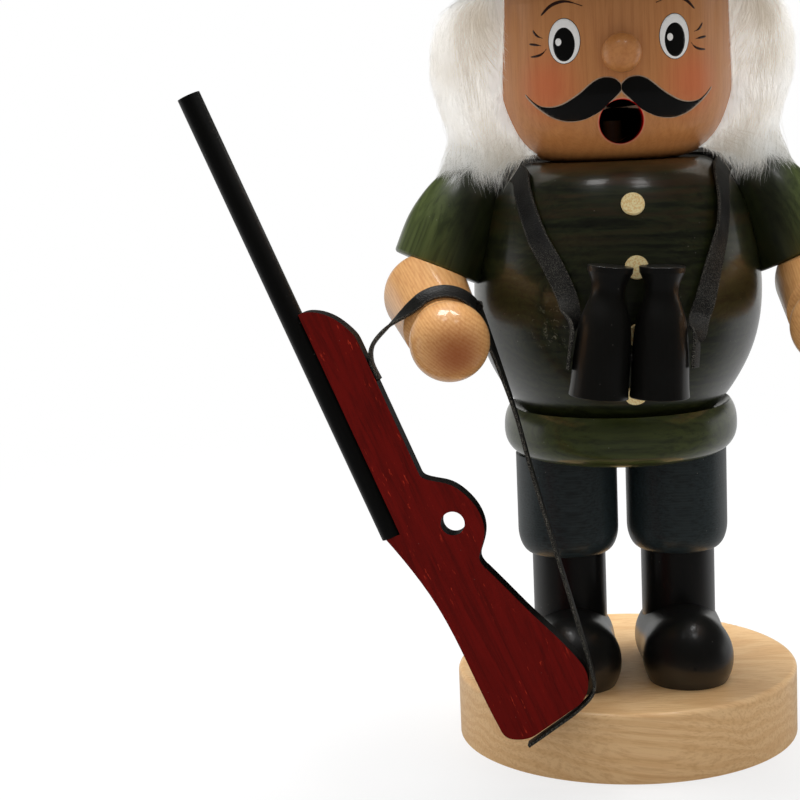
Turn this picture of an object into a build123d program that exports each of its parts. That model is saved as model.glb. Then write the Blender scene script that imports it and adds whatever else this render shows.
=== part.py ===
from build123d import *
import os
from math import cos, radians, sin, sqrt, tan

# German incense smoker: a turned wooden huntsman with binoculars and a rifle.
# Millimetres, Z up. The origin is the centre of the base's underside. The figure looks
# along -Y, so its right side, which is the viewer's left, is at -X.

# Fits
dowel_gap = 0.05          # round a glued dowel
end_gap = 0.3             # at the blind end of a hole
seat_gap = 0.3            # between a curved piece and what carries it
overrun = 5.0             # of cutting tools past a face

# Base
base_radius = 61.9
base_height = 24.6
base_rounding = 1.8

# Legs
leg_offset = 19.86
boot_radius = 13.3
boot_height = 42.7
trouser_radius = 18.2
trouser_height = 36.7
trouser_round_width = 4.9
trouser_round_height = 9.2
leg_dowel_radius = 4.0
leg_dowel_base_depth = 12.0
leg_dowel_hem_depth = 11.0

# Shoes, turned lying down and sawn flat below
shoe_radius = 16.0
shoe_axis_rise = 8.4
shoe_toe_reach = 41.5
shoe_heel_reach = 18.0
shoe_waist_reach = 13.5
shoe_waist_share = 0.97
shoe_splay = {"right": 1.5, "left": -1.5}
shoe_gap = 0.1

# Hem: the turned block that joins the legs and carries the coat
hem_radius = 41.7
hem_flat_radius = 35.0
hem_seat_rise = 15.0
hem_lip_rise = 18.0
spigot_radius = 28.0
spigot_rise = 8.0
air_hole_radius = 2.5
air_hole_offset = 24.2

# Incense tray
tray_radius = 20.0
tray_thickness = 0.6
tray_rim_height = 2.2
tray_screw_radius = 1.5
tray_screw_head_radius = 3.2
tray_screw_head_height = 1.5
tray_screw_length = 9.0

# Coat
coat_radius = 51.0
coat_height = 89.5
coat_shares = [(0.647, 0.0), (0.722, 0.042), (0.824, 0.123), (0.931, 0.246), (1.0, 0.469),
               (0.957, 0.693), (0.843, 0.883), (0.745, 0.961), (0.61, 1.0)]
chamber_gap = 0.4
chamber_height = 62.0
chamber_neck_height = 14.0
smoke_radius = 5.5

# Hollow dowel between coat and head
neck_tube_radius = 8.0
neck_tube_coat_depth = 5.0
neck_tube_head_depth = 4.0

# Buttons
button_radius = 4.0
button_thickness = 0.9
button_pin_radius = 0.9
button_pin_length = 4.0
button_shares = [0.127, 0.365, 0.616, 0.846]
button_turn = 1.0

# Head
head_radius = 42.0
head_height = 63.5
head_foot_radius = 20.0
head_shares = [(0.476, 0.0), (0.667, 0.024), (0.821, 0.094), (0.929, 0.197), (0.988, 0.323), (1.0, 0.465)]
head_side_share = 0.843
head_crown_share = 0.979
head_turn = -2.4
mouth_radius = 7.3
mouth_rise = 13.3
mouth_depth = 46.0
nose_radius = 6.5
nose_rise = 35.5
nose_stand = 4.4
nose_peg_radius = 2.0
nose_peg_depth = 6.0

# Hat
hat_brim_radius = 60.0
hat_brim_thickness = 3.6
hat_head_depth = 3.5
hat_head_gap = 0.6
hat_height = 51.0
hat_crown_radius = 43.6
hat_cord_radius = 2.2
hat_cord_rise = 7.2

# Hair: one strip of long white fur round the back of the head
hair_border = 67.5
hair_radius = 67.5
hair_shares = [(0.8, 0.985), (0.955, 0.955), (1.0, 0.85), (0.98, 0.72), (0.925, 0.55), (0.9, 0.38), (0.87, 0.2),
               (0.85, 0.03), (0.79, -0.15)]
hair_top_gap = 0.6
hair_coat_gap = 3.4
hair_sleeve_gap = 0.5

# Sleeves
sleeve_rim = (63.9, -5.0)
sleeve_rim_share = 0.60224
sleeve_radius = 16.5
sleeve_length_share = 0.45363
sleeve_shares = [(0.994, 0.0), (1.006, 0.15), (1.0, 0.33), (0.94, 0.48), (0.835, 0.63), (0.62, 0.81), (0.3, 0.955)]
sleeve_lean = 24.3
sleeve_forward = 6.0
sleeve_coat_gap = 0.05
sleeve_rim_rounding = 1.2
shoulder_dowel_radius = 4.0
shoulder_dowel_length = 22.0
shoulder_dowel_start = 36.0
shoulder_dowel_share = 0.7933
shoulder_dowel_y = -3.0

# Forearms, each turned in one piece with its ball hand
elbow = (68.2, -18.0)
elbow_drop = 8.5
forearm_yaw = 8.1
forearm_droop = 13.5
elbow_radius = 15.0
hand_reach = 45.7
hand_radius = 13.2
wrist_radius = 10.8
wrist_shoulder_radius = 13.1
wrist_shoulder_start = 11.0
wrist_shoulder_end = 14.2
elbow_dowel_radius = 3.0
elbow_dowel_depth = 7.0
elbow_dowel_share = 0.42

# Straps of black leather lace
strap_width = 7.0
strap_thickness = 1.1
strap_lift = 0.7
strap_loop_lift = 0.85
strap_loop_shares = [(50.8, 0.883), (57.0, 0.932), (70.0, 0.961), (90.0, 0.967), (112.0, 0.967), (135.0, 0.967),
                     (158.0, 0.967), (180.0, 0.967)]
strap_front_shares = [(50.0, 0.868), (42.5, 0.782), (36.5, 0.687), (32.0, 0.592), (29.0, 0.503)]
strap_end_shares = [(0.52, 0.9), (0.38, 0.93), (0.24, 0.93)]
strap_end_turn = 55.2

# Binoculars: two turned tubes glued side by side
tube_length = 43.0
tube_foot_radius = 9.9
tube_shares = [(1.0, 0.0), (0.975, 0.06), (0.945, 0.28), (0.88, 0.49), (0.79, 0.62), (0.67, 0.7), (0.56, 0.79),
               (0.575, 0.86), (0.65, 0.91), (0.745, 0.955)]
tube_rim_share = 0.765
tube_feet = {"right": -13.95, "left": 6.05}
tube_foot_shares = {"right": 0.15978, "left": 0.1486}
tube_lean_shares = {"right": 0.118, "left": 0.042}
tube_edge_rounding = 0.35
tube_y = -60.6
tube_dowel_radius = 1.5
tube_dowel_depth = 5.0
tube_dowel_share = 0.3

# Rifle, a flat wooden stock with a dowel for a barrel
rifle_wrist_y = -58.5
rifle_yaw = 9.0
rifle_lean = 22.5
rifle_hang = (-19.97, -68.05)
barrel_radius = 3.9
barrel_length = 160.0
barrel_seat = 3.2
barrel_groove_gap = 0.05
stock_thickness = 7.0
stock_edge_rounding = 0.6
fore_end_length = 80.2
fore_end_depth = 17.7
butt_length = 80.3
butt_depth = 41.0
ledge_depth = 1.9
guard_hole_radius = 4.0
guard_hole_place = (21.0, -3.5)
sling_width = 4.8
sling_thickness = 1.1
sling_gap = 0.55

# Heights that follow from the sizes
boot_top = base_height + boot_height
trouser_top = boot_top + trouser_height
hem_seat = trouser_top + hem_seat_rise
coat_top = hem_seat + coat_height
head_top = coat_top + head_height
brim_underside = head_top - hat_head_depth
spigot_top = hem_seat + spigot_rise
chamber_radius = spigot_radius + chamber_gap
shoulder_dowel_height = hem_seat + shoulder_dowel_share * coat_height
sleeve_rim_height = hem_seat + sleeve_rim_share * coat_height
sleeve_length = sleeve_length_share * coat_height
elbow_height = sleeve_rim_height - elbow_drop

sides = {"right": -1, "left": 1}

os.makedirs("parts", exist_ok=True)


def save(piece, name):
    piece.part.label = name
    export_step(piece.part, f"parts/{name}.step")


def standing_plane(origin, along, side):
    # A plane whose local Y runs along one direction and whose local X points to a side of it
    along = Vector(*along).normalized()
    side = Vector(*side)
    across = (side - along * side.dot(along)).normalized()
    return Plane(origin=origin, x_dir=across, z_dir=across.cross(along))


def radial_plane(angle):
    # A vertical half plane through the Z axis, turned from +X
    out = Vector(cos(radians(angle)), sin(radians(angle)), 0)
    return standing_plane((0, 0, 0), (0, 0, 1), out)


def coat_outline():
    return [(r * coat_radius, hem_seat + z * coat_height) for r, z in coat_shares]


coat_curve = Spline(*[Vector(r, 0, z) for r, z in coat_outline()])


def coat_point(height, azimuth, lift):
    # A point on the coat, counted from the front, and the outward normal there
    low, high = 0.0, 1.0
    for _ in range(40):
        middle = (low + high) / 2
        if (coat_curve @ middle).Z < height:
            low = middle
        else:
            high = middle
    on_curve = coat_curve @ low
    slope = coat_curve % low
    out = Vector(sin(radians(azimuth)), -cos(radians(azimuth)), 0)
    normal = (out * slope.Z - Vector(0, 0, 1) * slope.X).normalized()
    return out * on_curve.X + Vector(0, 0, on_curve.Z) + normal * lift, normal


def coat_solid(grown):
    # The coat's outer shape with no hollow, grown outwards
    with BuildPart() as solid:
        with BuildSketch(Plane.XZ):
            with BuildLine():
                stretch = 1 + grown / coat_height
                edge = Spline(*[(r + grown, hem_seat + (z - hem_seat) * stretch) for r, z in coat_outline()])
                Polyline(edge @ 1, (0, coat_top + grown), (0, hem_seat), edge @ 0)
            make_face()
        revolve(axis=Axis.Z)
    return solid.part


def ribbon(stations, width, thickness):
    # A flat lace lofted through stations, each a centre and the direction of its width
    with BuildPart() as lace:
        for i, (centre, span) in enumerate(stations):
            ahead = stations[min(i + 1, len(stations) - 1)][0] - stations[max(i - 1, 0)][0]
            across = span - ahead * (span.dot(ahead) / ahead.dot(ahead))
            with BuildSketch(Plane(origin=centre, x_dir=across, z_dir=ahead)):
                Rectangle(width, thickness)
        loft(ruled=True)
    return lace


# Base
with BuildPart() as base_disc:
    Cylinder(base_radius, base_height, align=(Align.CENTER, Align.CENTER, Align.MIN))
    fillet(base_disc.edges().filter_by(GeomType.CIRCLE).group_by(Axis.Z)[-1], base_rounding)
    with Locations((-leg_offset, 0, base_height), (leg_offset, 0, base_height)):
        Hole(leg_dowel_radius + dowel_gap, leg_dowel_base_depth + end_gap)
save(base_disc, "base_disc")

for name, side in sides.items():
    leg = (side * leg_offset, 0)

    # Boot
    with BuildPart() as boot:
        with BuildSketch(Plane.XY.offset(base_height)):
            with Locations(leg):
                Circle(boot_radius)
                Circle(leg_dowel_radius + dowel_gap, mode=Mode.SUBTRACT)
        extrude(amount=boot_height)
    save(boot, f"{name}_boot")

    # Trouser leg, rounded below
    with BuildPart() as trouser_leg:
        with BuildSketch(standing_plane((side * leg_offset, 0, boot_top), (0, 0, 1), (1, 0, 0))):
            with BuildLine():
                foot = trouser_radius - trouser_round_width
                bulge = EllipticalCenterArc((foot, trouser_round_height), trouser_round_width,
                                            trouser_round_height, start_angle=-90, arc_size=90)
                Polyline(bulge @ 1, (trouser_radius, trouser_height),
                         (leg_dowel_radius + dowel_gap, trouser_height), (leg_dowel_radius + dowel_gap, 0),
                         bulge @ 0)
            make_face()
        revolve(axis=Axis((side * leg_offset, 0, 0), (0, 0, 1)))
    save(trouser_leg, f"{name}_trouser_leg")

    # Dowel through the whole leg
    with BuildPart() as leg_dowel:
        with BuildSketch(Plane.XY.offset(base_height - leg_dowel_base_depth)):
            with Locations(leg):
                Circle(leg_dowel_radius)
        extrude(amount=leg_dowel_base_depth + boot_height + trouser_height + leg_dowel_hem_depth)
    save(leg_dowel, f"{name}_leg_dowel")

    # Shoe: toe ball, waist and heel in one turning, bored for the boot
    splay = radians(shoe_splay[name])
    toe = Vector(side * sin(splay), -cos(splay), 0)
    shoe_centre = Vector(side * leg_offset, 0, base_height + shoe_axis_rise)
    with BuildPart() as shoe:
        with BuildSketch(standing_plane(shoe_centre, toe, (0, 0, 1))):
            with BuildLine():
                heel = CenterArc((0, shoe_radius - shoe_heel_reach), shoe_radius, -90, 90)
                ball = CenterArc((0, shoe_toe_reach - shoe_radius), shoe_radius, 0, 90)
                waist = (shoe_waist_share * shoe_radius, shoe_waist_reach)
                Spline(heel @ 1, waist, ball @ 0, tangents=[(0, 1), (0, 1)])
                Line(ball @ 1, heel @ 0)
            make_face()
        revolve(axis=Axis(shoe_centre, toe))
        split(bisect_by=Plane.XY.offset(base_height), keep=Keep.TOP)
        with Locations((side * leg_offset, 0, base_height)):
            Cylinder(boot_radius + shoe_gap, 2 * shoe_radius + shoe_axis_rise,
                     align=(Align.CENTER, Align.CENTER, Align.MIN), mode=Mode.SUBTRACT)
    save(shoe, f"{name}_shoe")

# Hem block with its bead, the lip round the coat, the seat and the spigot
with BuildPart() as coat_hem:
    with BuildSketch(Plane.XZ):
        with BuildLine():
            lip = (0.945 * hem_radius, trouser_top + hem_lip_rise)
            bead = Spline((hem_flat_radius, trouser_top), (0.923 * hem_radius, trouser_top + 0.1 * hem_lip_rise),
                          (0.984 * hem_radius, trouser_top + 0.3 * hem_lip_rise),
                          (hem_radius, trouser_top + 0.58 * hem_lip_rise),
                          (0.982 * hem_radius, trouser_top + 0.84 * hem_lip_rise), lip)
            hollow = ThreePointArc(lip, (0.893 * hem_radius, hem_seat + 0.4 * (hem_lip_rise - hem_seat_rise)),
                                   (0.83 * hem_radius, hem_seat))
            Polyline(hollow @ 1, (spigot_radius, hem_seat), (spigot_radius, spigot_top), (0, spigot_top),
                     (0, trouser_top), bead @ 0)
        make_face()
    revolve(axis=Axis.Z)
    with BuildSketch(Plane.XY.offset(trouser_top)):
        with Locations((-leg_offset, 0), (leg_offset, 0)):
            Circle(leg_dowel_radius + dowel_gap)
    extrude(amount=leg_dowel_hem_depth + end_gap, mode=Mode.SUBTRACT)
    with BuildSketch(Plane.XY.offset(trouser_top)):
        with Locations((0, -air_hole_offset), (0, air_hole_offset)):
            Circle(air_hole_radius)
    extrude(amount=spigot_top - trouser_top, mode=Mode.SUBTRACT)
    with BuildSketch(Plane.XY.offset(spigot_top)):
        Circle(tray_screw_radius + dowel_gap)
    extrude(amount=-(tray_screw_length - tray_thickness + end_gap), mode=Mode.SUBTRACT)
save(coat_hem, "coat_hem")

# Stamped incense tray and the screw that holds it
with BuildPart() as incense_tray:
    with BuildSketch(Plane.XY.offset(spigot_top)):
        Circle(tray_radius)
        Circle(tray_screw_radius + dowel_gap, mode=Mode.SUBTRACT)
    extrude(amount=tray_thickness)
    with BuildSketch(Plane.XY.offset(spigot_top)):
        Circle(tray_radius)
        Circle(tray_radius - tray_thickness, mode=Mode.SUBTRACT)
    extrude(amount=tray_rim_height)
save(incense_tray, "incense_tray")

with BuildPart() as tray_screw:
    with BuildSketch(standing_plane((0, 0, spigot_top + tray_thickness), (0, 0, 1), (1, 0, 0))):
        with BuildLine():
            dome = ThreePointArc((0, tray_screw_head_height),
                                 (0.72 * tray_screw_head_radius, 0.7 * tray_screw_head_height),
                                 (tray_screw_head_radius, 0))
            Polyline(dome @ 1, (tray_screw_radius, 0), (tray_screw_radius, -0.8 * tray_screw_length),
                     (0, -tray_screw_length), dome @ 0)
        make_face()
    revolve(axis=Axis.Z)
save(tray_screw, "tray_screw")

# Coat: a turned belly bored from below, with a smoke channel to the head
shoulder_dowel_seat = {name: Vector(side * shoulder_dowel_start, shoulder_dowel_y, shoulder_dowel_height)
                       for name, side in sides.items()}
button_seats = [coat_point(hem_seat + share * coat_height, button_turn, 0) for share in button_shares]
with BuildPart() as coat_body:
    add(coat_solid(0))
    with BuildSketch(Plane.XZ):
        with BuildLine():
            Polyline((0, hem_seat), (chamber_radius, hem_seat), (chamber_radius, hem_seat + chamber_height),
                     (smoke_radius, hem_seat + chamber_height + chamber_neck_height), (smoke_radius, coat_top),
                     (0, coat_top), close=True)
        make_face()
    revolve(axis=Axis.Z, mode=Mode.SUBTRACT)
    with BuildSketch(Plane.XY.offset(coat_top)):
        Circle(neck_tube_radius + dowel_gap)
    extrude(amount=-neck_tube_coat_depth, mode=Mode.SUBTRACT)
    for name, side in sides.items():
        with BuildSketch(Plane(origin=shoulder_dowel_seat[name], z_dir=(side, 0, 0))):
            Circle(shoulder_dowel_radius + dowel_gap)
        extrude(amount=coat_radius, mode=Mode.SUBTRACT)
    for seat, normal in button_seats:
        with BuildSketch(Plane(origin=seat - normal * (button_pin_length + end_gap), z_dir=normal)):
            Circle(button_pin_radius + dowel_gap)
        extrude(amount=button_pin_length + overrun, mode=Mode.SUBTRACT)
save(coat_body, "coat_body")

# Buttons on short pins
with BuildPart() as coat_buttons:
    for seat, normal in button_seats:
        with BuildSketch(Plane(origin=seat + normal * dowel_gap, z_dir=normal)):
            Circle(button_radius)
        extrude(amount=button_thickness, taper=18)
        with BuildSketch(Plane(origin=seat - normal * button_pin_length, z_dir=normal)):
            Circle(button_pin_radius)
        extrude(amount=button_pin_length + button_thickness / 2)
save(coat_buttons, "coat_buttons")

# Hollow dowel that joins head and coat and lets the smoke through
with BuildPart() as neck_tube:
    with BuildSketch(Plane.XY.offset(coat_top - neck_tube_coat_depth)):
        Circle(neck_tube_radius)
        Circle(smoke_radius, mode=Mode.SUBTRACT)
    extrude(amount=neck_tube_coat_depth + neck_tube_head_depth)
save(neck_tube, "neck_tube")

# Head: a barrel with a rounded chin, bored for the mouth and the smoke
face_out = Vector(sin(radians(head_turn)), -cos(radians(head_turn)), 0)
mouth_height = coat_top + mouth_rise
nose_height = coat_top + nose_rise
with BuildPart() as head:
    with BuildSketch(Plane.XZ):
        with BuildLine():
            chin = Spline(*[(r * head_radius, coat_top + z * head_height) for r, z in head_shares],
                          tangents=[(1, 0), (0, 1)])
            Polyline(chin @ 1, (head_radius, coat_top + head_side_share * head_height),
                     (head_crown_share * head_radius, head_top), (0, head_top), (0, coat_top), chin @ 0)
        make_face()
    revolve(axis=Axis.Z)
    with BuildSketch(Plane(origin=Vector(0, 0, mouth_height) + face_out * (head_radius + overrun), z_dir=-face_out)):
        Circle(mouth_radius)
    extrude(amount=mouth_depth + overrun, mode=Mode.SUBTRACT)
    with BuildSketch(Plane.XY.offset(coat_top)):
        Circle(smoke_radius)
    extrude(amount=mouth_rise, mode=Mode.SUBTRACT)
    with BuildSketch(Plane.XY.offset(coat_top)):
        Circle(neck_tube_radius + dowel_gap)
    extrude(amount=neck_tube_head_depth + end_gap, mode=Mode.SUBTRACT)
    with BuildSketch(Plane(origin=Vector(0, 0, nose_height) + face_out * (head_radius + overrun), z_dir=-face_out)):
        Circle(nose_peg_radius + dowel_gap)
    extrude(amount=nose_peg_depth + overrun + end_gap, mode=Mode.SUBTRACT)
save(head, "head")

# Ball nose, hollowed to the head's curve, on a peg
with BuildPart() as nose:
    with Locations(Vector(0, 0, nose_height) + face_out * (head_radius + nose_stand)):
        Sphere(nose_radius)
    with Locations((0, 0, nose_height)):
        Cylinder(head_radius + dowel_gap, 2 * nose_radius + overrun, mode=Mode.SUBTRACT)
    with BuildSketch(Plane(origin=Vector(0, 0, nose_height) + face_out * (head_radius - nose_peg_depth),
                           z_dir=face_out)):
        Circle(nose_peg_radius)
    extrude(amount=nose_peg_depth + nose_stand)
save(nose, "nose")

# Hat: brim and crown turned in one piece, with a groove for its cord
hat_cord_path_radius = hat_crown_radius + 0.4 * hat_cord_radius
with BuildPart() as hat:
    with BuildSketch(standing_plane((0, 0, brim_underside), (0, 0, 1), (1, 0, 0))):
        with BuildLine():
            socket = head_crown_share * head_radius + hat_head_gap
            brim_top = (hat_crown_radius + hat_cord_radius, 1.45 * hat_brim_thickness)
            rim = ThreePointArc((hat_brim_radius - 0.5 * hat_brim_thickness, 0),
                                (hat_brim_radius, 0.5 * hat_brim_thickness),
                                (hat_brim_radius - 0.5 * hat_brim_thickness, hat_brim_thickness))
            crown = Spline((hat_crown_radius, 0.12 * hat_height), (0.985 * hat_crown_radius, 0.35 * hat_height),
                           (0.9 * hat_crown_radius, 0.8 * hat_height), (0.76 * hat_crown_radius, 0.96 * hat_height),
                           (0.45 * hat_crown_radius, hat_height), (0, 0.97 * hat_height))
            Polyline(rim @ 1, brim_top, crown @ 0)
            Polyline(crown @ 1, (0, hat_head_depth), (socket, hat_head_depth), (socket, 0), rim @ 0)
        make_face()
    revolve(axis=Axis.Z)
    with Locations((0, 0, brim_underside + hat_cord_rise)):
        Torus(hat_cord_path_radius, hat_cord_radius + dowel_gap, mode=Mode.SUBTRACT)
save(hat, "hat")

with BuildPart() as hat_cord:
    with Locations((0, 0, brim_underside + hat_cord_rise)):
        Torus(hat_cord_path_radius, hat_cord_radius)
save(hat_cord, "hat_cord")


def sleeve_axis(side):
    return Vector(-side * tan(radians(sleeve_lean)), tan(radians(sleeve_forward)), 1).normalized()


def sleeve_seat(side):
    return Vector(side * sleeve_rim[0], sleeve_rim[1], sleeve_rim_height)


def sleeve_solid(side, grown):
    # The sleeve's bullet shape with no cuts, grown outwards
    rim, up = sleeve_seat(side), sleeve_axis(side)
    with BuildPart() as solid:
        with BuildSketch(standing_plane(rim - up * grown, up, (side, 0, 0))):
            with BuildLine():
                reach = sleeve_length + 2 * grown
                edge = Spline(*[(r * sleeve_radius + grown, z * reach) for r, z in sleeve_shares], (0, reach))
                Polyline(edge @ 1, (0, 0), edge @ 0)
            make_face()
        revolve(axis=Axis(rim, up))
    return solid.part


def forearm_axis(side):
    level = cos(radians(forearm_droop))
    return Vector(-side * sin(radians(forearm_yaw)) * level, -cos(radians(forearm_yaw)) * level,
                  -sin(radians(forearm_droop)))


def elbow_centre(side):
    return Vector(side * elbow[0], elbow[1], elbow_height)


def elbow_dowel_point(side):
    # On the glued face, between the elbow and the sleeve's middle
    up, rim, centre = sleeve_axis(side), sleeve_seat(side), elbow_centre(side)
    foot = centre + up * (rim - centre).dot(up)
    return foot + (rim - foot) * elbow_dowel_share


for name, side in sides.items():
    up = sleeve_axis(side)
    joint_point = elbow_dowel_point(side)

    # Sleeve, hollowed to the coat's side
    with BuildPart() as sleeve:
        add(sleeve_solid(side, 0))
        fillet(sleeve.edges().filter_by(GeomType.CIRCLE), sleeve_rim_rounding)
        add(coat_solid(sleeve_coat_gap), mode=Mode.SUBTRACT)
        with BuildSketch(Plane(origin=shoulder_dowel_seat[name], z_dir=(side, 0, 0))):
            Circle(shoulder_dowel_radius + dowel_gap)
        extrude(amount=shoulder_dowel_length + end_gap, mode=Mode.SUBTRACT)
        with BuildSketch(Plane(origin=joint_point, z_dir=up)):
            Circle(elbow_dowel_radius + dowel_gap)
        extrude(amount=elbow_dowel_depth + end_gap, mode=Mode.SUBTRACT)
    save(sleeve, f"{name}_sleeve")

    with BuildPart() as shoulder_dowel:
        with BuildSketch(Plane(origin=shoulder_dowel_seat[name] + Vector(side * end_gap, 0, 0), z_dir=(side, 0, 0))):
            Circle(shoulder_dowel_radius)
        extrude(amount=shoulder_dowel_length - end_gap)
    save(shoulder_dowel, f"{name}_shoulder_dowel")

    # Forearm with its rounded elbow, wrist groove and ball hand, sawn to the sleeve's end
    ahead = forearm_axis(side)
    with BuildPart() as forearm:
        with BuildSketch(standing_plane(elbow_centre(side), ahead, (side, 0, 0))):
            with BuildLine():
                back = ThreePointArc((0, -elbow_radius), (elbow_radius * sin(radians(45)), -elbow_radius * cos(radians(45))),
                                     (elbow_radius, 0))
                neck_end = hand_reach - sqrt(hand_radius ** 2 - wrist_radius ** 2)
                ball = ThreePointArc((wrist_radius, neck_end), (hand_radius, hand_reach),
                                     (0, hand_reach + hand_radius))
                Polyline(back @ 1, (wrist_shoulder_radius, hand_reach - wrist_shoulder_end),
                         (wrist_radius, hand_reach - wrist_shoulder_start), ball @ 0)
                Line(ball @ 1, back @ 0)
            make_face()
        revolve(axis=Axis(elbow_centre(side), ahead))
        split(bisect_by=Plane(origin=sleeve_seat(side), z_dir=up), keep=Keep.BOTTOM)
        with BuildSketch(Plane(origin=joint_point, z_dir=-up)):
            Circle(elbow_dowel_radius + dowel_gap)
        extrude(amount=elbow_dowel_depth + end_gap, mode=Mode.SUBTRACT)
    save(forearm, f"{name}_forearm")

    with BuildPart() as elbow_dowel:
        with BuildSketch(Plane(origin=joint_point - up * elbow_dowel_depth, z_dir=up)):
            Circle(elbow_dowel_radius)
        extrude(amount=2 * elbow_dowel_depth)
    save(elbow_dowel, f"{name}_elbow_dowel")

# Hair: a thick strip of fur from cheek to cheek round the back, falling on the shoulders
with BuildPart() as hair_fur:
    with BuildSketch(radial_plane(hair_border - 90)):
        with BuildLine():
            hair_height = brim_underside - hair_top_gap - coat_top
            skin = Spline(*[(r * head_radius + seat_gap, coat_top + z * head_height - seat_gap)
                            for r, z in head_shares[2:]], tangents=[(1, 1), (0, 1)])
            pile = Spline(*[(r * hair_radius, coat_top + z * hair_height) for r, z in hair_shares])
            Polyline(skin @ 1, (head_radius + seat_gap, coat_top + hair_height), pile @ 0)
            Polyline(pile @ 1, (head_radius, (pile @ 1).Y), skin @ 0)
        make_face()
    revolve(axis=Axis.Z, revolution_arc=360 - 2 * hair_border)
    add(coat_solid(hair_coat_gap), mode=Mode.SUBTRACT)
    for side in sides.values():
        add(sleeve_solid(side, hair_sleeve_gap), mode=Mode.SUBTRACT)
save(hair_fur, "hair_fur")

# Binocular tubes and the dowel between them
tube_axes = {}
for name in sides:
    foot = Vector(tube_feet[name], tube_y, hem_seat + tube_foot_shares[name] * coat_height)
    tube_axes[name] = (foot, Vector(tube_lean_shares[name], 0, 1).normalized())
dowel_middle = sum((foot + up * (tube_dowel_share * tube_length) for foot, up in tube_axes.values()), Vector()) / 2
for name, side in sides.items():
    foot, up = tube_axes[name]
    with BuildPart() as tube:
        with BuildSketch(standing_plane(foot, up, (1, 0, 0))):
            with BuildLine():
                edge = Spline(*[(r * tube_foot_radius, z * tube_length) for r, z in tube_shares])
                Polyline(edge @ 1, (tube_rim_share * tube_foot_radius, tube_length), (0, tube_length), (0, 0), edge @ 0)
            make_face()
        revolve(axis=Axis(foot, up))
        flat_ends = tube.faces().filter_by(GeomType.PLANE)
        fillet(flat_ends.edges(), tube_edge_rounding)
        with BuildSketch(Plane(origin=dowel_middle, z_dir=(side, 0, 0))):
            Circle(tube_dowel_radius + dowel_gap)
        extrude(amount=tube_dowel_depth + end_gap, mode=Mode.SUBTRACT)
    save(tube, f"{name}_binocular_tube")

with BuildPart() as binocular_dowel:
    with BuildSketch(Plane(origin=dowel_middle - Vector(tube_dowel_depth, 0, 0), z_dir=(1, 0, 0))):
        Circle(tube_dowel_radius)
    extrude(amount=2 * tube_dowel_depth)
save(binocular_dowel, "binocular_dowel")


# Neck strap: a loop on the shoulders and two ends that hang to the binoculars
def coat_lace(places, lift):
    # The lace lies flat on the coat, across the way it runs
    seats = [coat_point(hem_seat + share * coat_height, azimuth, lift + strap_thickness / 2)
             for azimuth, share in places]
    stations = []
    for i, (centre, normal) in enumerate(seats):
        heading = seats[min(i + 1, len(seats) - 1)][0] - seats[max(i - 1, 0)][0]
        stations.append((centre, heading.cross(normal)))
    return stations


loop_places = [(-azimuth, share) for azimuth, share in strap_loop_shares] + strap_loop_shares[-2::-1]
neck_strap = ribbon(coat_lace(loop_places, strap_loop_lift), strap_width, strap_thickness)
save(neck_strap, "neck_strap")

for name, side in sides.items():
    foot, up = tube_axes[name]
    stations = coat_lace([(side * azimuth, share) for azimuth, share in strap_front_shares], strap_lift)
    out = Vector(side * sin(radians(strap_end_turn)), cos(radians(strap_end_turn)), 0)
    for share, width_share in strap_end_shares:
        reach = tube_foot_radius * width_share + seat_gap + strap_thickness
        centre = foot + up * (share * tube_length) + out * reach
        stations.append((centre, Vector(0, 0, 1).cross(out) * -side))
    strap_front = ribbon(stations, strap_width, strap_thickness)
    save(strap_front, f"{name}_strap_front")

# Rifle: its plane hangs in front of the wrist, with the barrel leaning to the viewer's left
hand_centre = elbow_centre(-1) + forearm_axis(-1) * hand_reach
wrist = hand_centre - forearm_axis(-1) * (wrist_shoulder_start + sling_width / 8)
rifle_right = Vector(cos(radians(rifle_yaw)), -sin(radians(rifle_yaw)), 0)
rifle_front = Vector(-sin(radians(rifle_yaw)), -cos(radians(rifle_yaw)), 0)
rifle_across = rifle_right * cos(radians(rifle_lean)) + Vector(0, 0, sin(radians(rifle_lean)))
rifle_origin = (Vector(wrist.X, rifle_wrist_y, wrist.Z) + rifle_right * rifle_hang[0]
                + Vector(0, 0, rifle_hang[1]))
rifle_plane = Plane(origin=rifle_origin, x_dir=rifle_across, z_dir=rifle_front)

with BuildPart() as rifle_barrel:
    with BuildSketch(Plane(origin=rifle_origin, z_dir=rifle_plane.y_dir)):
        Circle(barrel_radius)
    extrude(amount=barrel_length)
save(rifle_barrel, "rifle_barrel")

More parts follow.
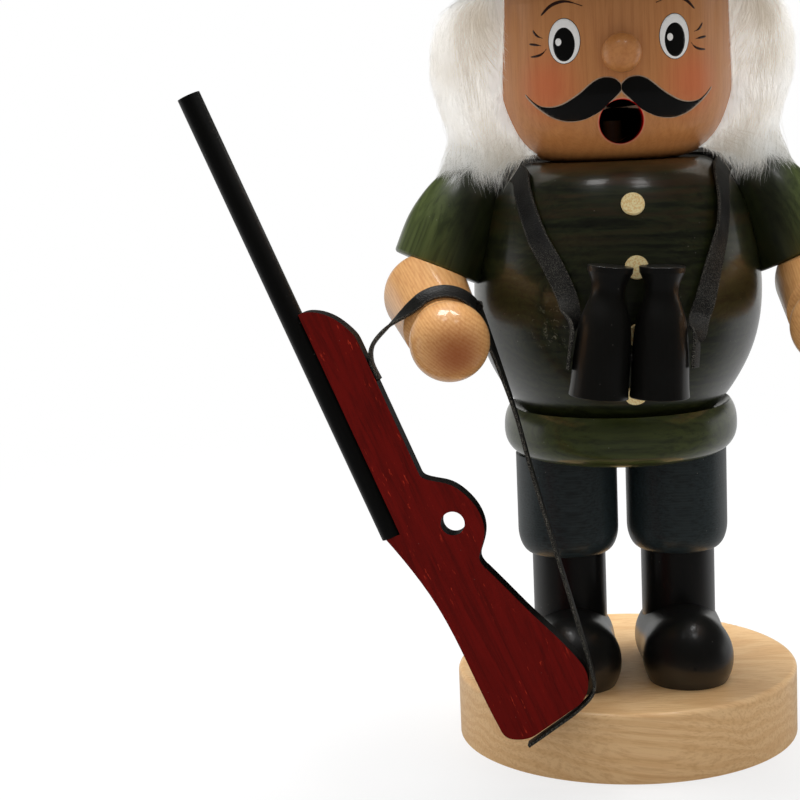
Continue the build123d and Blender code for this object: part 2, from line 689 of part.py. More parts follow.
with BuildPart() as rifle_stock:
    with BuildSketch(rifle_plane):
        with BuildLine():
            ledge = Line((-ledge_depth, 0), (barrel_seat, 0))
            Line(ledge @ 1, (barrel_seat, fore_end_length))
            nose_curve = Spline((barrel_seat, fore_end_length), (0.5 * fore_end_depth, 0.98 * fore_end_length),
                                (0.8 * fore_end_depth, 0.915 * fore_end_length),
                                (0.975 * fore_end_depth, 0.835 * fore_end_length),
                                (fore_end_depth, 0.76 * fore_end_length), tangents=[(1, 0.12), (0, -1)])
            Line(nose_curve @ 1, (fore_end_depth, 0.2 * fore_end_length))
            guard = Spline((fore_end_depth, 0.2 * fore_end_length), (1.06 * fore_end_depth, 0.172 * fore_end_length),
                           (0.612 * butt_depth, 0.115 * fore_end_length), (0.705 * butt_depth, 0.045 * fore_end_length),
                           (0.749 * butt_depth, -0.044 * butt_length), (0.72 * butt_depth, -0.128 * butt_length),
                           (0.63 * butt_depth, -0.192 * butt_length), (0.588 * butt_depth, -0.232 * butt_length),
                           (0.608 * butt_depth, -0.275 * butt_length), (0.672 * butt_depth, -0.355 * butt_length),
                           tangents=[(0, -1), (0.36, -0.93)])
            comb = Spline(guard @ 1, (0.775 * butt_depth, -0.495 * butt_length),
                          (0.887 * butt_depth, -0.63 * butt_length), (0.976 * butt_depth, -0.755 * butt_length),
                          (butt_depth, -0.832 * butt_length), (0.945 * butt_depth, -0.905 * butt_length),
                          (0.8 * butt_depth, -0.953 * butt_length), tangents=[(0.36, -0.93), (-0.97, -0.24)])
            butt_end = Line(comb @ 1, (0.42 * butt_depth, -0.998 * butt_length))
            toe_curve = Spline(butt_end @ 1, (0.245 * butt_depth, -0.99 * butt_length),
                               (0.152 * butt_depth, -0.925 * butt_length), tangents=[(-0.97, -0.24), (0, 1)])
            Spline(toe_curve @ 1, (0.137 * butt_depth, -0.66 * butt_length), (0.102 * butt_depth, -0.318 * butt_length),
                   (0.03 * butt_depth, -0.137 * butt_length), ledge @ 0)
        make_face()
        with Locations(guard_hole_place):
            Circle(guard_hole_radius, mode=Mode.SUBTRACT)
    extrude(amount=stock_thickness / 2, both=True)
    with BuildSketch(Plane(origin=rifle_origin, z_dir=rifle_plane.y_dir)):
        Circle(barrel_radius + barrel_groove_gap)
    extrude(amount=fore_end_length + overrun, mode=Mode.SUBTRACT)
save(rifle_stock, "rifle_stock")

# Sling: glued to the fore end, over the wrist behind the hand, down to the heel and along the butt
wrist_back = -forearm_axis(-1)
wrist_side = (rifle_right - wrist_back * rifle_right.dot(wrist_back)).normalized()
wrist_up = wrist_side.cross(wrist_back)
cone_slope = (wrist_shoulder_radius - wrist_radius) / (wrist_shoulder_end - wrist_shoulder_start)
cone_length = sqrt(1 + cone_slope ** 2)
band_middle = wrist_shoulder_start + sling_width / 3
band_radius = (wrist_radius + cone_slope * (band_middle - wrist_shoulder_start)
               + (sling_gap + sling_thickness / 2) * cone_length)


def wrist_station(angle):
    # On the cone behind the hand, counted from the top towards the viewer's right
    out = wrist_up * cos(radians(angle)) + wrist_side * sin(radians(angle))
    centre = hand_centre + wrist_back * band_middle + out * band_radius
    return centre, (wrist_back + out * cone_slope).normalized()


def stock_station(across, along, depth=0.0):
    return rifle_plane.from_local_coords(Vector(across, along, depth)), rifle_front * -1


half = sling_thickness / 2
sling_stations = [stock_station(fore_end_depth + half, 0.62 * fore_end_length),
                  stock_station(fore_end_depth + half, 0.7 * fore_end_length),
                  stock_station(fore_end_depth + 3 * sling_thickness, 0.76 * fore_end_length, -sling_width / 8),
                  stock_station(1.55 * fore_end_depth, 0.8 * fore_end_length, -sling_width)]
sling_stations += [wrist_station(angle) for angle in range(-42, 76, 13)]
sling_stations += [stock_station(1.33 * butt_depth, 0.3 * fore_end_length, -sling_width),
                   stock_station(1.26 * butt_depth, 0.04 * fore_end_length, -sling_width / 2),
                   stock_station(1.16 * butt_depth, -0.36 * butt_length, -sling_width / 8),
                   stock_station(1.08 * butt_depth, -0.68 * butt_length),
                   stock_station(1.035 * butt_depth, -0.84 * butt_length),
                   stock_station(0.98 * butt_depth, -0.925 * butt_length),
                   stock_station(0.81 * butt_depth, -0.972 * butt_length),
                   stock_station(0.6 * butt_depth, -1.003 * butt_length),
                   stock_station(0.3 * butt_depth, -1.04 * butt_length)]
rifle_sling = ribbon(sling_stations, sling_width, sling_thickness)
save(rifle_sling, "rifle_sling")
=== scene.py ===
import math
import random
import bmesh
import bpy
from mathutils import Matrix, Quaternion, Vector, noise
from mathutils.bvhtree import BVHTree


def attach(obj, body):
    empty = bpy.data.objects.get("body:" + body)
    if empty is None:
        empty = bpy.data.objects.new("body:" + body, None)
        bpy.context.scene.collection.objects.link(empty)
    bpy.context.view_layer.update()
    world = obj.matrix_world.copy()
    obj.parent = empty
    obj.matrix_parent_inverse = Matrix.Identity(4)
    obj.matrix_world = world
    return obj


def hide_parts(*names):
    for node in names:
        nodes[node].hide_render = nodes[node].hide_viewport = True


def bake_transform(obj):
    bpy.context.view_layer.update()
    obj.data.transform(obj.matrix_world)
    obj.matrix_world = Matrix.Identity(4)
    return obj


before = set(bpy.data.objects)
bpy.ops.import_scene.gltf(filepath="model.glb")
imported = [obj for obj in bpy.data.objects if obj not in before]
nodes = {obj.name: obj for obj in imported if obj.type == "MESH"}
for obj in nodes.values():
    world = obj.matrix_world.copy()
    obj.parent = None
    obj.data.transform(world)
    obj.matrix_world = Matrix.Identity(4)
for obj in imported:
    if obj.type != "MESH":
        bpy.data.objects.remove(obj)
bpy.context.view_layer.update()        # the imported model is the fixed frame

mm = 0.001
pureWhite = (1, 1, 1, 1)
print("frame loaded:", len(nodes), "nodes")


# Small helpers for shader and geometry trees and for meshes

def setInputs(tree, made, inputs):
    # A socket is linked, a plain value is set
    for key, value in inputs.items():
        if isinstance(value, bpy.types.NodeSocket):
            tree.links.new(value, made.inputs[key])
        else:
            made.inputs[key].default_value = value


def addNode(tree, kind, inputs=None, **settings):
    made = tree.nodes.new(kind)
    for key, value in settings.items():
        setattr(made, key, value)
    setInputs(tree, made, inputs or {})
    return made


def maths(tree, operation, a, b=0.0, c=0.0):
    return addNode(tree, "ShaderNodeMath", {0: a, 1: b, 2: c}, operation=operation).outputs[0]


def product(tree, a, b):
    return maths(tree, "MULTIPLY", a, b)


def vectorMaths(tree, operation, a, b=(0.0, 0.0, 0.0)):
    made = addNode(tree, "ShaderNodeVectorMath", {0: a, 1: b}, operation=operation)
    return made.outputs["Value" if operation in ("LENGTH", "DISTANCE", "DOT_PRODUCT") else "Vector"]


def stretched(tree, vector, factors):
    return vectorMaths(tree, "MULTIPLY", vector, factors)


def parted(tree, vector):
    return addNode(tree, "ShaderNodeSeparateXYZ", {0: vector}).outputs


def alike(tree, value):
    # A vector with one value along all three axes
    return addNode(tree, "ShaderNodeCombineXYZ", {i: value for i in range(3)}).outputs[0]


def mixColour(tree, share, a, b):
    return addNode(tree, "ShaderNodeMix", {0: share, 6: a, 7: b}, data_type="RGBA").outputs[2]


def noiseOn(tree, vector, scale, detail, output="Fac", roughness=0.5):
    inputs = {"Vector": vector, "Scale": scale, "Detail": detail, "Roughness": roughness}
    return addNode(tree, "ShaderNodeTexNoise", inputs).outputs[output]


def bumpOn(tree, height, strength, distance=0.0002):
    return addNode(tree, "ShaderNodeBump", {"Height": height, "Strength": strength, "Distance": distance}).outputs[0]


def newFinish(name):
    material = bpy.data.materials.new(name)
    material.use_nodes = True
    tree = material.node_tree
    return material, tree, tree.nodes["Principled BSDF"]


def spread(tree, value, low, high, toLow=0.0, toHigh=1.0):
    settings = {"Value": value, "From Min": low, "From Max": high, "To Min": toLow, "To Max": toHigh}
    return addNode(tree, "ShaderNodeMapRange", settings, interpolation_type="SMOOTHSTEP").outputs["Result"]


def paint(red, green, blue):
    # A colour as a picture shows it, 0 to 255, made linear
    def straight(c):
        c /= 255
        return c / 12.92 if c <= 0.04045 else ((c + 0.055) / 1.055) ** 2.4
    return straight(red), straight(green), straight(blue), 1.0


def newGroup(name, inputs, outputs):
    group = bpy.data.node_groups.new(name, "ShaderNodeTree")
    for label, kind, value in inputs:
        socket = group.interface.new_socket(label, in_out="INPUT", socket_type="NodeSocket" + kind)
        socket.default_value = value
    for label, kind in outputs:
        group.interface.new_socket(label, in_out="OUTPUT", socket_type="NodeSocket" + kind)
    return group, group.nodes.new("NodeGroupInput").outputs, group.nodes.new("NodeGroupOutput").inputs


def meshFrom(name, shape):
    bmesh.ops.recalc_face_normals(shape, faces=shape.faces[:])
    mesh = bpy.data.meshes.new(name)
    shape.to_mesh(mesh)
    shape.free()
    return mesh


# Camera

cameraLook = {
    "place": (-0.07453, -0.63989, 0.22782),
    "forward": (-0.00743, 0.98738, -0.15818),
    "rollDegrees": 2.525,
    "lens": 80.603, "sensor": 36.0, "clip": (0.01, 50.0),
}


def makeCamera(look):
    data = bpy.data.cameras.new("photoCamera")
    data.lens, data.sensor_width = look["lens"], look["sensor"]
    data.clip_start, data.clip_end = look["clip"]
    camera = bpy.data.objects.new("photoCamera", data)
    bpy.context.scene.collection.objects.link(camera)
    forward = Vector(look["forward"]).normalized()
    level = forward.cross(Vector((0, 0, 1))).normalized()
    below = forward.cross(level)
    roll = math.radians(look["rollDegrees"])
    right = level * math.cos(roll) + below * math.sin(roll)
    up = level * math.sin(roll) - below * math.cos(roll)
    camera.rotation_mode = "QUATERNION"
    camera.location = look["place"]
    basis = [(right[i], up[i], -forward[i]) for i in range(3)]
    camera.rotation_quaternion = Matrix(basis).to_quaternion()
    bpy.context.scene.camera = camera


makeCamera(cameraLook)
bpy.context.scene.view_settings.view_transform = "Standard"


# Studio: two soft boxes overhead, a white table and a dark room that the lacquer mirrors

studioLook = {
    # place, size, watts, gloss only
    "boxes": [((-0.25, 0.14, 1.2), 0.36, 6.3, False), ((0.22, 0.13, 1.2), 0.36, 6.3, False),
              ((-0.23, -0.3, 1.1), 0.2, 0.55, True), ((0.26, -0.42, 1.1), 0.18, 0.4, True)],
    "aim": (0, 0, 0.15),
    # soft light that reaches everything, in front and behind
    "fillFront": (0.54, 0.525, 0.51, 1), "fillBack": (0.9, 0.9, 0.9, 1), "fillEdges": (-0.55, 0.1),
    # what lacquer mirrors: a dark room in front, a pale wall behind up to a height
    "mirrorFront": (0.028, 0.026, 0.022, 1), "mirrorBack": (0.6, 0.6, 0.58, 1), "mirrorTop": 0.3, "mirrorFade": 0.22,
    "mirrorEdges": (-0.15, 0.15),
    # the table: its white, what it throws back, how much of it glows near the figure and how far that spreads
    "tableRadius": 1.15, "tableWhite": 0.86, "tableBounce": 0.5, "tableLift": 0.72, "liftReach": (0.1, 0.75),
    "tableRough": 0.6, "tableSpecular": 0.2,
    # what lacquer mirrors of the table, in front and behind, and where it changes
    "tableMirror": (0.07, 0.5), "tableMirrorEdges": (-0.12, 0.1),
}


def makeStudio(look):
    scene = bpy.context.scene
    for i, (place, size, watts, glossOnly) in enumerate(look["boxes"]):
        data = bpy.data.lights.new(f"softBox{i}", "AREA")
        data.shape, data.size, data.energy = "SQUARE", size, watts
        lamp = bpy.data.objects.new(f"softBox{i}", data)
        scene.collection.objects.link(lamp)
        lamp.location = place
        lamp.visible_diffuse = not glossOnly
        lamp.rotation_mode = "QUATERNION"
        lamp.rotation_quaternion = (Vector(look["aim"]) - Vector(place)).to_track_quat("-Z", "Y")

    world = bpy.data.worlds.new("studioWorld")
    scene.world = world
    world.use_nodes = True
    tree = world.node_tree
    tree.nodes.clear()
    way = parted(tree, addNode(tree, "ShaderNodeTexCoord").outputs["Generated"])
    path = addNode(tree, "ShaderNodeLightPath").outputs
    fill = mixColour(tree, spread(tree, way["Y"], *look["fillEdges"]), look["fillFront"], look["fillBack"])
    low = spread(tree, way["Z"], look["mirrorTop"], look["mirrorTop"] - look["mirrorFade"])
    wall = product(tree, spread(tree, way["Y"], *look["mirrorEdges"]), low)
    mirrored = mixColour(tree, wall, look["mirrorFront"], look["mirrorBack"])
    colour = mixColour(tree, path["Is Glossy Ray"], fill, mirrored)
    colour = mixColour(tree, path["Is Camera Ray"], colour, pureWhite)
    light = addNode(tree, "ShaderNodeBackground", {"Color": colour, "Strength": 1.0})
    tree.links.new(light.outputs[0], addNode(tree, "ShaderNodeOutputWorld").inputs[0])

    mesh = bpy.data.meshes.new("studioTable")
    shape = bmesh.new()
    bmesh.ops.create_circle(shape, cap_ends=True, segments=96, radius=look["tableRadius"])
    shape.to_mesh(mesh)
    shape.free()
    table = bpy.data.objects.new("studioTable", mesh)
    scene.collection.objects.link(table)
    material, tree, shader = newFinish("tableWhite")
    white, bounce = look["tableWhite"], look["tableBounce"]
    path = addNode(tree, "ShaderNodeLightPath").outputs
    colour = mixColour(tree, path["Is Diffuse Ray"], (white, white, white, 1), (bounce, bounce, bounce, 1))
    setInputs(tree, shader, {"Base Color": colour, "Roughness": look["tableRough"],
                             "Specular IOR Level": look["tableSpecular"]})
    place = addNode(tree, "ShaderNodeTexCoord").outputs["Object"]
    away = spread(tree, vectorMaths(tree, "LENGTH", place), *look["liftReach"], look["tableLift"], 1.0)
    glow = addNode(tree, "ShaderNodeEmission", {"Color": pureWhite, "Strength": 1.0}).outputs[0]
    share = product(tree, path["Is Camera Ray"], away)
    mixed = addNode(tree, "ShaderNodeMixShader", {0: share, 1: shader.outputs[0], 2: glow}).outputs[0]
    mirrored = spread(tree, parted(tree, place)["Y"], *look["tableMirrorEdges"], *look["tableMirror"])
    dim = addNode(tree, "ShaderNodeEmission", {"Color": pureWhite, "Strength": mirrored}).outputs[0]
    mixed = addNode(tree, "ShaderNodeMixShader", {0: path["Is Glossy Ray"], 1: mixed, 2: dim}).outputs[0]
    tree.links.new(mixed, tree.nodes["Material Output"].inputs["Surface"])
    mesh.materials.append(material)


makeStudio(studioLook)
print("camera and studio ready")


# Shader groups used by several finishes

grainLook = {
    # how far rings wander in millimetres, and how broad the bends are
    "wanderReach": 30.0, "wanderScale": 0.05,
    "ringBend": 2.0, "ringDetail": 2.0, "ringFineness": 1.5, "fibreRough": 0.62,
    # pores are so much finer than fibres, and only the brightest flecks count
    "poreFineness": 3.1, "poreEdges": (0.62, 0.74),
}
handlingLook = {
    "smudgeScale": 0.11, "smudgeRough": 0.6,
    # scratches are bent cell edges, broken up into patches
    "bendScale": 0.22, "bend": 6.0, "cellScale": 0.16, "lineEdges": (0.012, 0.002), "patchScale": 0.4,
    "patchEdges": (0.6, 0.68),
    # lint lies in the few cells with a high random value
    "lintScale": 0.42, "rareEdges": (0.78, 0.84), "dotEdges": (0.09, 0.03),
}


def makeGrainGroup():
    # Turned wood: broad year rings, fine fibres and short pores, all drawn out along one axis
    group, given, result = newGroup(
        "turnedGrain",
        [("Place", "Vector", (0, 0, 0)), ("Rings", "Float", 0.25), ("Fibre", "Float", 1.4),
         ("Draw", "Float", 0.06), ("Wander", "Float", 0.6)],
        [("Rings", "Float"), ("Fibre", "Float"), ("Pores", "Float")])
    long = addNode(group, "ShaderNodeCombineXYZ", {0: 1.0, 1: 1.0, 2: given["Draw"]}).outputs[0]
    drawn = stretched(group, given["Place"], long)
    push = noiseOn(group, drawn, grainLook["wanderScale"], 2.0, "Color")
    push = vectorMaths(group, "SUBTRACT", push, (0.5, 0.5, 0.5))
    reach = stretched(group, alike(group, given["Wander"]), (grainLook["wanderReach"],) * 3)
    moved = vectorMaths(group, "ADD", drawn, stretched(group, push, reach))
    waves = {"Vector": moved, "Scale": given["Rings"], "Distortion": grainLook["ringBend"],
             "Detail": grainLook["ringDetail"], "Detail Scale": grainLook["ringFineness"]}
    rings = addNode(group, "ShaderNodeTexWave", waves, wave_type="BANDS", bands_direction="X", wave_profile="SIN")
    fibre = noiseOn(group, moved, given["Fibre"], 5.0, roughness=grainLook["fibreRough"])
    fleck = noiseOn(group, drawn, product(group, given["Fibre"], grainLook["poreFineness"]), 1.0)
    group.links.new(rings.outputs["Fac"], result["Rings"])
    group.links.new(fibre, result["Fibre"])
    group.links.new(spread(group, fleck, *grainLook["poreEdges"]), result["Pores"])
    return group


def crackLines(tree, place, look):
    # Fine lines along the edges of cells whose place is bent by noise, in patches
    bent = noiseOn(tree, place, look["bendScale"], 1.0, "Color")
    bent = vectorMaths(tree, "ADD", place, stretched(tree, bent, (look["bend"],) * 3))
    cells = addNode(tree, "ShaderNodeTexVoronoi", {"Vector": bent, "Scale": look["cellScale"]},
                    feature="DISTANCE_TO_EDGE")
    patchy = noiseOn(tree, place, look["patchScale"], look.get("patchDetail", 1.0))
    line = spread(tree, cells.outputs["Distance"], *look["lineEdges"])
    return product(tree, line, spread(tree, patchy, *look["patchEdges"]))


def makeHandlingGroup():
    # What handling leaves on lacquer: smudges, hair scratches, lint
    group, given, result = newGroup(
        "handlingMarks",
        [("Place", "Vector", (0, 0, 0))],
        [("Smudge", "Float"), ("Scratch", "Float"), ("Lint", "Float")])
    place, look = given["Place"], handlingLook
    smudge = noiseOn(group, place, look["smudgeScale"], 4.0, roughness=look["smudgeRough"])
    specks = addNode(group, "ShaderNodeTexVoronoi", {"Vector": place, "Scale": look["lintScale"]}).outputs
    rare = addNode(group, "ShaderNodeSeparateColor", {0: specks["Color"]}).outputs[0]
    dot = spread(group, specks["Distance"], *look["dotEdges"])
    group.links.new(smudge, result["Smudge"])
    group.links.new(crackLines(group, place, look), result["Scratch"])
    group.links.new(product(group, dot, spread(group, rare, *look["rareEdges"])), result["Lint"])
    return group


grainGroup = makeGrainGroup()
handlingGroup = makeHandlingGroup()


def placeOn(tree, turn=(0.0, 0.0, 0.0), centre=(0.0, 0.0, 0.0)):
    # Object coordinates in millimetres, turned so that Z runs along the grain
    where = addNode(tree, "ShaderNodeTexCoord").outputs["Object"]
    moved = vectorMaths(tree, "SUBTRACT", where, tuple(c * mm for c in centre))
    angles = tuple(math.radians(a) for a in turn)
    return addNode(tree, "ShaderNodeMapping", {"Vector": moved, "Rotation": angles, "Scale": (1000.0,) * 3},
                   vector_type="POINT").outputs[0]


woodLook = {
    "ringEdges": (0.2, 0.9), "fibreEdges": (0.42, 0.68), "lint": (0.5, 0.48, 0.42, 1),
    "smudgeRough": 0.12, "scratchRough": 0.2,
    "fibreRise": 0.6, "poreRise": -0.4, "scratchRise": -0.5,
}


def woodFinish(name, look):
    # Grain in three shades under lacquer that has been handled
    material, tree, shader = newFinish(name)
    place = placeOn(tree, look.get("turn", (0, 0, 0)), look.get("centre", (0, 0, 0)))
    settings = {"Place": place, "Rings": look["rings"], "Fibre": look["fibre"], "Draw": look["draw"],
                "Wander": look["wander"]}
    grain = addNode(tree, "ShaderNodeGroup", settings, node_tree=grainGroup).outputs
    marks = addNode(tree, "ShaderNodeGroup", {"Place": place}, node_tree=handlingGroup).outputs
    colour = look["light"]
    for mask, share, tint in (
            (spread(tree, grain["Rings"], *woodLook["ringEdges"]), look["ringShare"], look["dark"]),
            (spread(tree, grain["Fibre"], *woodLook["fibreEdges"]), look["fibreShare"], look["deep"]),
            (grain["Pores"], look["poreShare"], look["deep"]),
            (marks["Lint"], look["lintShare"], woodLook["lint"])):
        colour = mixColour(tree, product(tree, mask, share), colour, tint)
    rough = maths(tree, "MULTIPLY_ADD", marks["Smudge"], woodLook["smudgeRough"], look["rough"])
    rough = maths(tree, "MULTIPLY_ADD", marks["Scratch"], woodLook["scratchRough"], rough)
    height = product(tree, grain["Fibre"], woodLook["fibreRise"])
    height = maths(tree, "MULTIPLY_ADD", grain["Pores"], woodLook["poreRise"], height)
    height = maths(tree, "MULTIPLY_ADD", marks["Scratch"], woodLook["scratchRise"], height)
    setInputs(tree, shader, {
        "Base Color": colour, "Roughness": rough, "Coat Weight": look["coat"], "Coat Roughness": look["coatRough"],
        "Specular IOR Level": look.get("specular", 0.5), "Normal": bumpOn(tree, height, look["bump"])})
    return material, tree, shader, colour


def dress(material, *names):
    for name in names:
        data = nodes[name].data
        data.materials.clear()
        data.materials.append(material)


def pairsOf(*names):
    return [side + "_" + name for name in names for side in ("right", "left")]


# Natural and painted wood

sides = ((1, "right"), (-1, "left"))
paleWood = {
    "light": paint(232, 188, 134), "dark": paint(216, 164, 106), "deep": paint(192, 136, 80),
    "ringShare": 0.5, "fibreShare": 0.45, "rings": 0.12, "fibre": 1.1, "draw": 0.05, "wander": 0.5,
    "rough": 0.32, "coat": 0.45, "coatRough": 0.07, "bump": 0.06, "poreShare": 0.25, "lintShare": 0.0,
}
baseLook = dict(paleWood, light=paint(250, 208, 152), dark=paint(236, 186, 126), deep=paint(212, 156, 98),
                turn=(0, 82, 0), rings=0.07, draw=0.03, coat=0.2, coatRough=0.15, rough=0.42)
headLook = dict(paleWood, light=paint(203, 137, 79), dark=paint(190, 122, 66), deep=paint(172, 102, 51), rings=0.09,
                ringShare=0.35, fibreShare=0.35)
handLook = dict(paleWood, light=paint(234, 180, 118), dark=paint(216, 150, 86), deep=paint(186, 108, 48),
                fibreShare=0.35, rings=0.3, draw=0.06, wander=0.12, coat=0.55, coatRough=0.05, specular=0.3,
                # the ball's tip darkens: end grain and painted shade on the middle of the ball
                endGrainAndShade=paint(148, 62, 8), endReach=14.5, endShare=0.8,
                # turn of the grain, its middle and the ball's tip on the right arm
                armTurn=(76.4, 7.9, 48), armCentre=(-66, -40, 159), tip=(-60.1, -74.7, 150.6))
dowelLook = dict(paleWood, coat=0.0, rough=0.55, light=paint(214, 186, 146))
dress(woodFinish("lacqueredBase", baseLook)[0], "base_disc")
dress(woodFinish("bareDowel", dowelLook)[0], *pairsOf("leg_dowel", "shoulder_dowel", "elbow_dowel"), "neck_tube")


def armFinish(side, look):
    # Year rings run along the arm, and the ball is darker round its tip: partly end grain that takes more lacquer,
    # partly painted shade on the ball's middle
    (a, b, c), (x, y, z), (tipX, tipY, tipZ) = look["armTurn"], look["armCentre"], look["tip"]
    look = dict(look, turn=(a, b * side, c), centre=(x * side, y, z))
    material, tree, shader, colour = woodFinish("armWood", look)
    away = vectorMaths(tree, "DISTANCE", placeOn(tree), (tipX * side, tipY, tipZ))
    end = product(tree, spread(tree, away, look["endReach"], 1.0), look["endShare"])
    setInputs(tree, shader, {"Base Color": mixColour(tree, end, colour, look["endGrainAndShade"])})
    return material


for side, name in sides:
    dress(armFinish(side, handLook), name + "_forearm")
dress(woodFinish("noseWood", dict(headLook, turn=(90, 0, 0)))[0], "nose")

blackGloss = {
    "light": paint(12, 12, 11), "dark": paint(8, 8, 8), "deep": paint(15, 15, 14),
    "ringShare": 0.3, "fibreShare": 0.3, "rings": 0.2, "fibre": 1.2, "draw": 0.05, "wander": 0.4,
    "rough": 0.38, "coat": 0.6, "coatRough": 0.22, "bump": 0.06, "poreShare": 0.1, "lintShare": 0.3,
}
blackSatin = dict(blackGloss, light=paint(9, 9, 8), rough=0.42, coat=0.25, coatRough=0.25, lintShare=0.2, specular=0.3)
tubeLook = dict(blackSatin, light=paint(15, 13, 9), coat=0.55, coatRough=0.2, specular=0.4)
trouserLook = {
    "light": paint(42, 55, 58), "dark": paint(31, 42, 44), "deep": paint(14, 20, 21), "turn": (0, 90, 0),
    "ringShare": 0.4, "fibreShare": 0.7, "rings": 0.3, "fibre": 1.7, "draw": 0.04, "wander": 0.2,
    "rough": 0.38, "coat": 0.4, "coatRough": 0.22, "bump": 0.22, "poreShare": 0.3, "lintShare": 0.4,
}
dress(woodFinish("bootLacquer", blackGloss)[0], *pairsOf("boot", "shoe"))
dress(woodFinish("barrelLacquer", dict(blackSatin, turn=(0, 22.5, 0)))[0], "rifle_barrel")
dress(woodFinish("tubeLacquer", tubeLook)[0], *pairsOf("binocular_tube"), "binocular_dowel")
dress(woodFinish("trouserPaint", trouserLook)[0], *pairsOf("trouser_leg"))

oliveStain = {
    "ringShare": 0.5, "fibreShare": 0.6, "rings": 0.08, "fibre": 0.6, "draw": 0.05, "wander": 0.7,
    "rough": 0.3, "coat": 0.9, "coatRough": 0.07, "bump": 0.08, "poreShare": 0.25, "lintShare": 0.4,
}
coatLook = dict(oliveStain, turn=(0, 88, 0), light=paint(41, 48, 20), dark=paint(25, 31, 10),
                deep=paint(9, 12, 3), draw=0.035, rings=0.09, fibre=0.7, coatRough=0.15)
coatMarks = {
    "streakDraw": (0.14, 0.14, 1.7), "streakScale": 0.17,
    "chest": paint(64, 41, 18), "chestHeights": (171.0, 200.0), "chestShares": (0.05, 0.66),
    "chestEdges": (0.42, 0.62), "darkEdges": (0.46, 0.36), "darkShare": 0.6,
    "scuff": (-27.0, -41.5, 154.0), "scuffReach": (11.0, 3.0), "scuffColour": paint(120, 118, 100),
    "bendScale": 0.5, "bend": 5.0, "cellScale": 0.34, "lineEdges": (0.05, 0.015), "patchScale": 0.55,
    "patchDetail": 2.0, "patchEdges": (0.52, 0.6),
    "toolDraw": (0.05, 0.05, 1.0), "toolScale": 0.9, "toolBump": 0.2,
}
hemLook = dict(oliveStain, turn=(0, 88, 0), light=paint(64, 73, 30), dark=paint(42, 49, 17),
               deep=paint(19, 23, 6), ringShare=0.4, fibreShare=0.45)
sleeveLook = dict(oliveStain, light=paint(86, 99, 50), dark=paint(60, 73, 30), deep=paint(24, 32, 9),
                  rings=0.09, draw=0.025, fibre=0.7, ringShare=0.45, fibreShare=0.5, coat=0.6, coatRough=0.22,
                  # the inner colour, its reach and its share: painted shade, darker towards the coat
                  inner=paint(12, 16, 5), shadeReach=(66.0, 52.0), shadeShare=0.85)


def coatFinish(look, marks):
    # Thinner, browner stain on the chest and a scuffed patch on the belly
    material, tree, shader, colour = woodFinish("coatStain", look)
    place = placeOn(tree)
    streaks = noiseOn(tree, stretched(tree, place, marks["streakDraw"]), marks["streakScale"], 4.0, roughness=0.6)
    chest = spread(tree, parted(tree, place)["Z"], *marks["chestHeights"], *marks["chestShares"])
    chest = product(tree, chest, spread(tree, streaks, *marks["chestEdges"]))
    colour = mixColour(tree, chest, colour, marks["chest"])
    dark = product(tree, spread(tree, streaks, *marks["darkEdges"]), marks["darkShare"])
    colour = mixColour(tree, dark, colour, look["deep"])
    near = spread(tree, vectorMaths(tree, "DISTANCE", place, marks["scuff"]), *marks["scuffReach"])
    scuffs = product(tree, crackLines(tree, place, marks), near)
    colour = mixColour(tree, scuffs, colour, marks["scuffColour"])
    # fine rings that the turning tool left, under the lacquer's gloss
    turned = noiseOn(tree, stretched(tree, place, marks["toolDraw"]), marks["toolScale"], 3.0)
    setInputs(tree, shader, {"Base Color": colour, "Coat Normal": bumpOn(tree, turned, marks["toolBump"], 0.0003)})
    return material


def sleeveFinish(name, look):
    # Painted shade: the sleeve gets darker towards the coat, where it lies in shade
    material, tree, shader, colour = woodFinish(name, look)
    away = maths(tree, "ABSOLUTE", parted(tree, placeOn(tree))["X"])
    inner = spread(tree, away, *look["shadeReach"], 0.0, look["shadeShare"])
    setInputs(tree, shader, {"Base Color": mixColour(tree, inner, colour, look["inner"])})
    return material


dress(coatFinish(coatLook, coatMarks), "coat_body")
dress(woodFinish("hemStain", hemLook)[0], "coat_hem")
hatLook = dict(sleeveLook, light=paint(58, 68, 33), dark=paint(42, 52, 21), deep=paint(20, 28, 8))
dress(woodFinish("hatStain", hatLook)[0], "hat")
for side, name in sides:
    dress(sleeveFinish(name + "SleeveStainAndShade", dict(sleeveLook, turn=(0, -24 * side, 0))), name + "_sleeve")


def stockFinish(look):
    # Red stain on the flat faces, dark cut edges
    material, tree, shader, colour = woodFinish("stockStain", look)
    across = addNode(tree, "ShaderNodeTexCoord").outputs["Normal"]
    facing = maths(tree, "ABSOLUTE", vectorMaths(tree, "DOT_PRODUCT", across, look["faceNormal"]))
    flat = spread(tree, facing, *look["faceEdges"])
    place = placeOn(tree, look["turn"])
    nicks = noiseOn(tree, stretched(tree, place, look["nickDraw"]), look["nickScale"], 3.0, roughness=0.7)
    worn = spread(tree, noiseOn(tree, place, look["wornScale"], 2.0), *look["wornEdges"])
    nicked = product(tree, spread(tree, nicks, *look["nickEdges"]), worn)
    colour = mixColour(tree, product(tree, nicked, look["nickShare"]), colour, look["scratch"])
    setInputs(tree, shader, {"Base Color": mixColour(tree, flat, look["edge"], colour)})
    return material


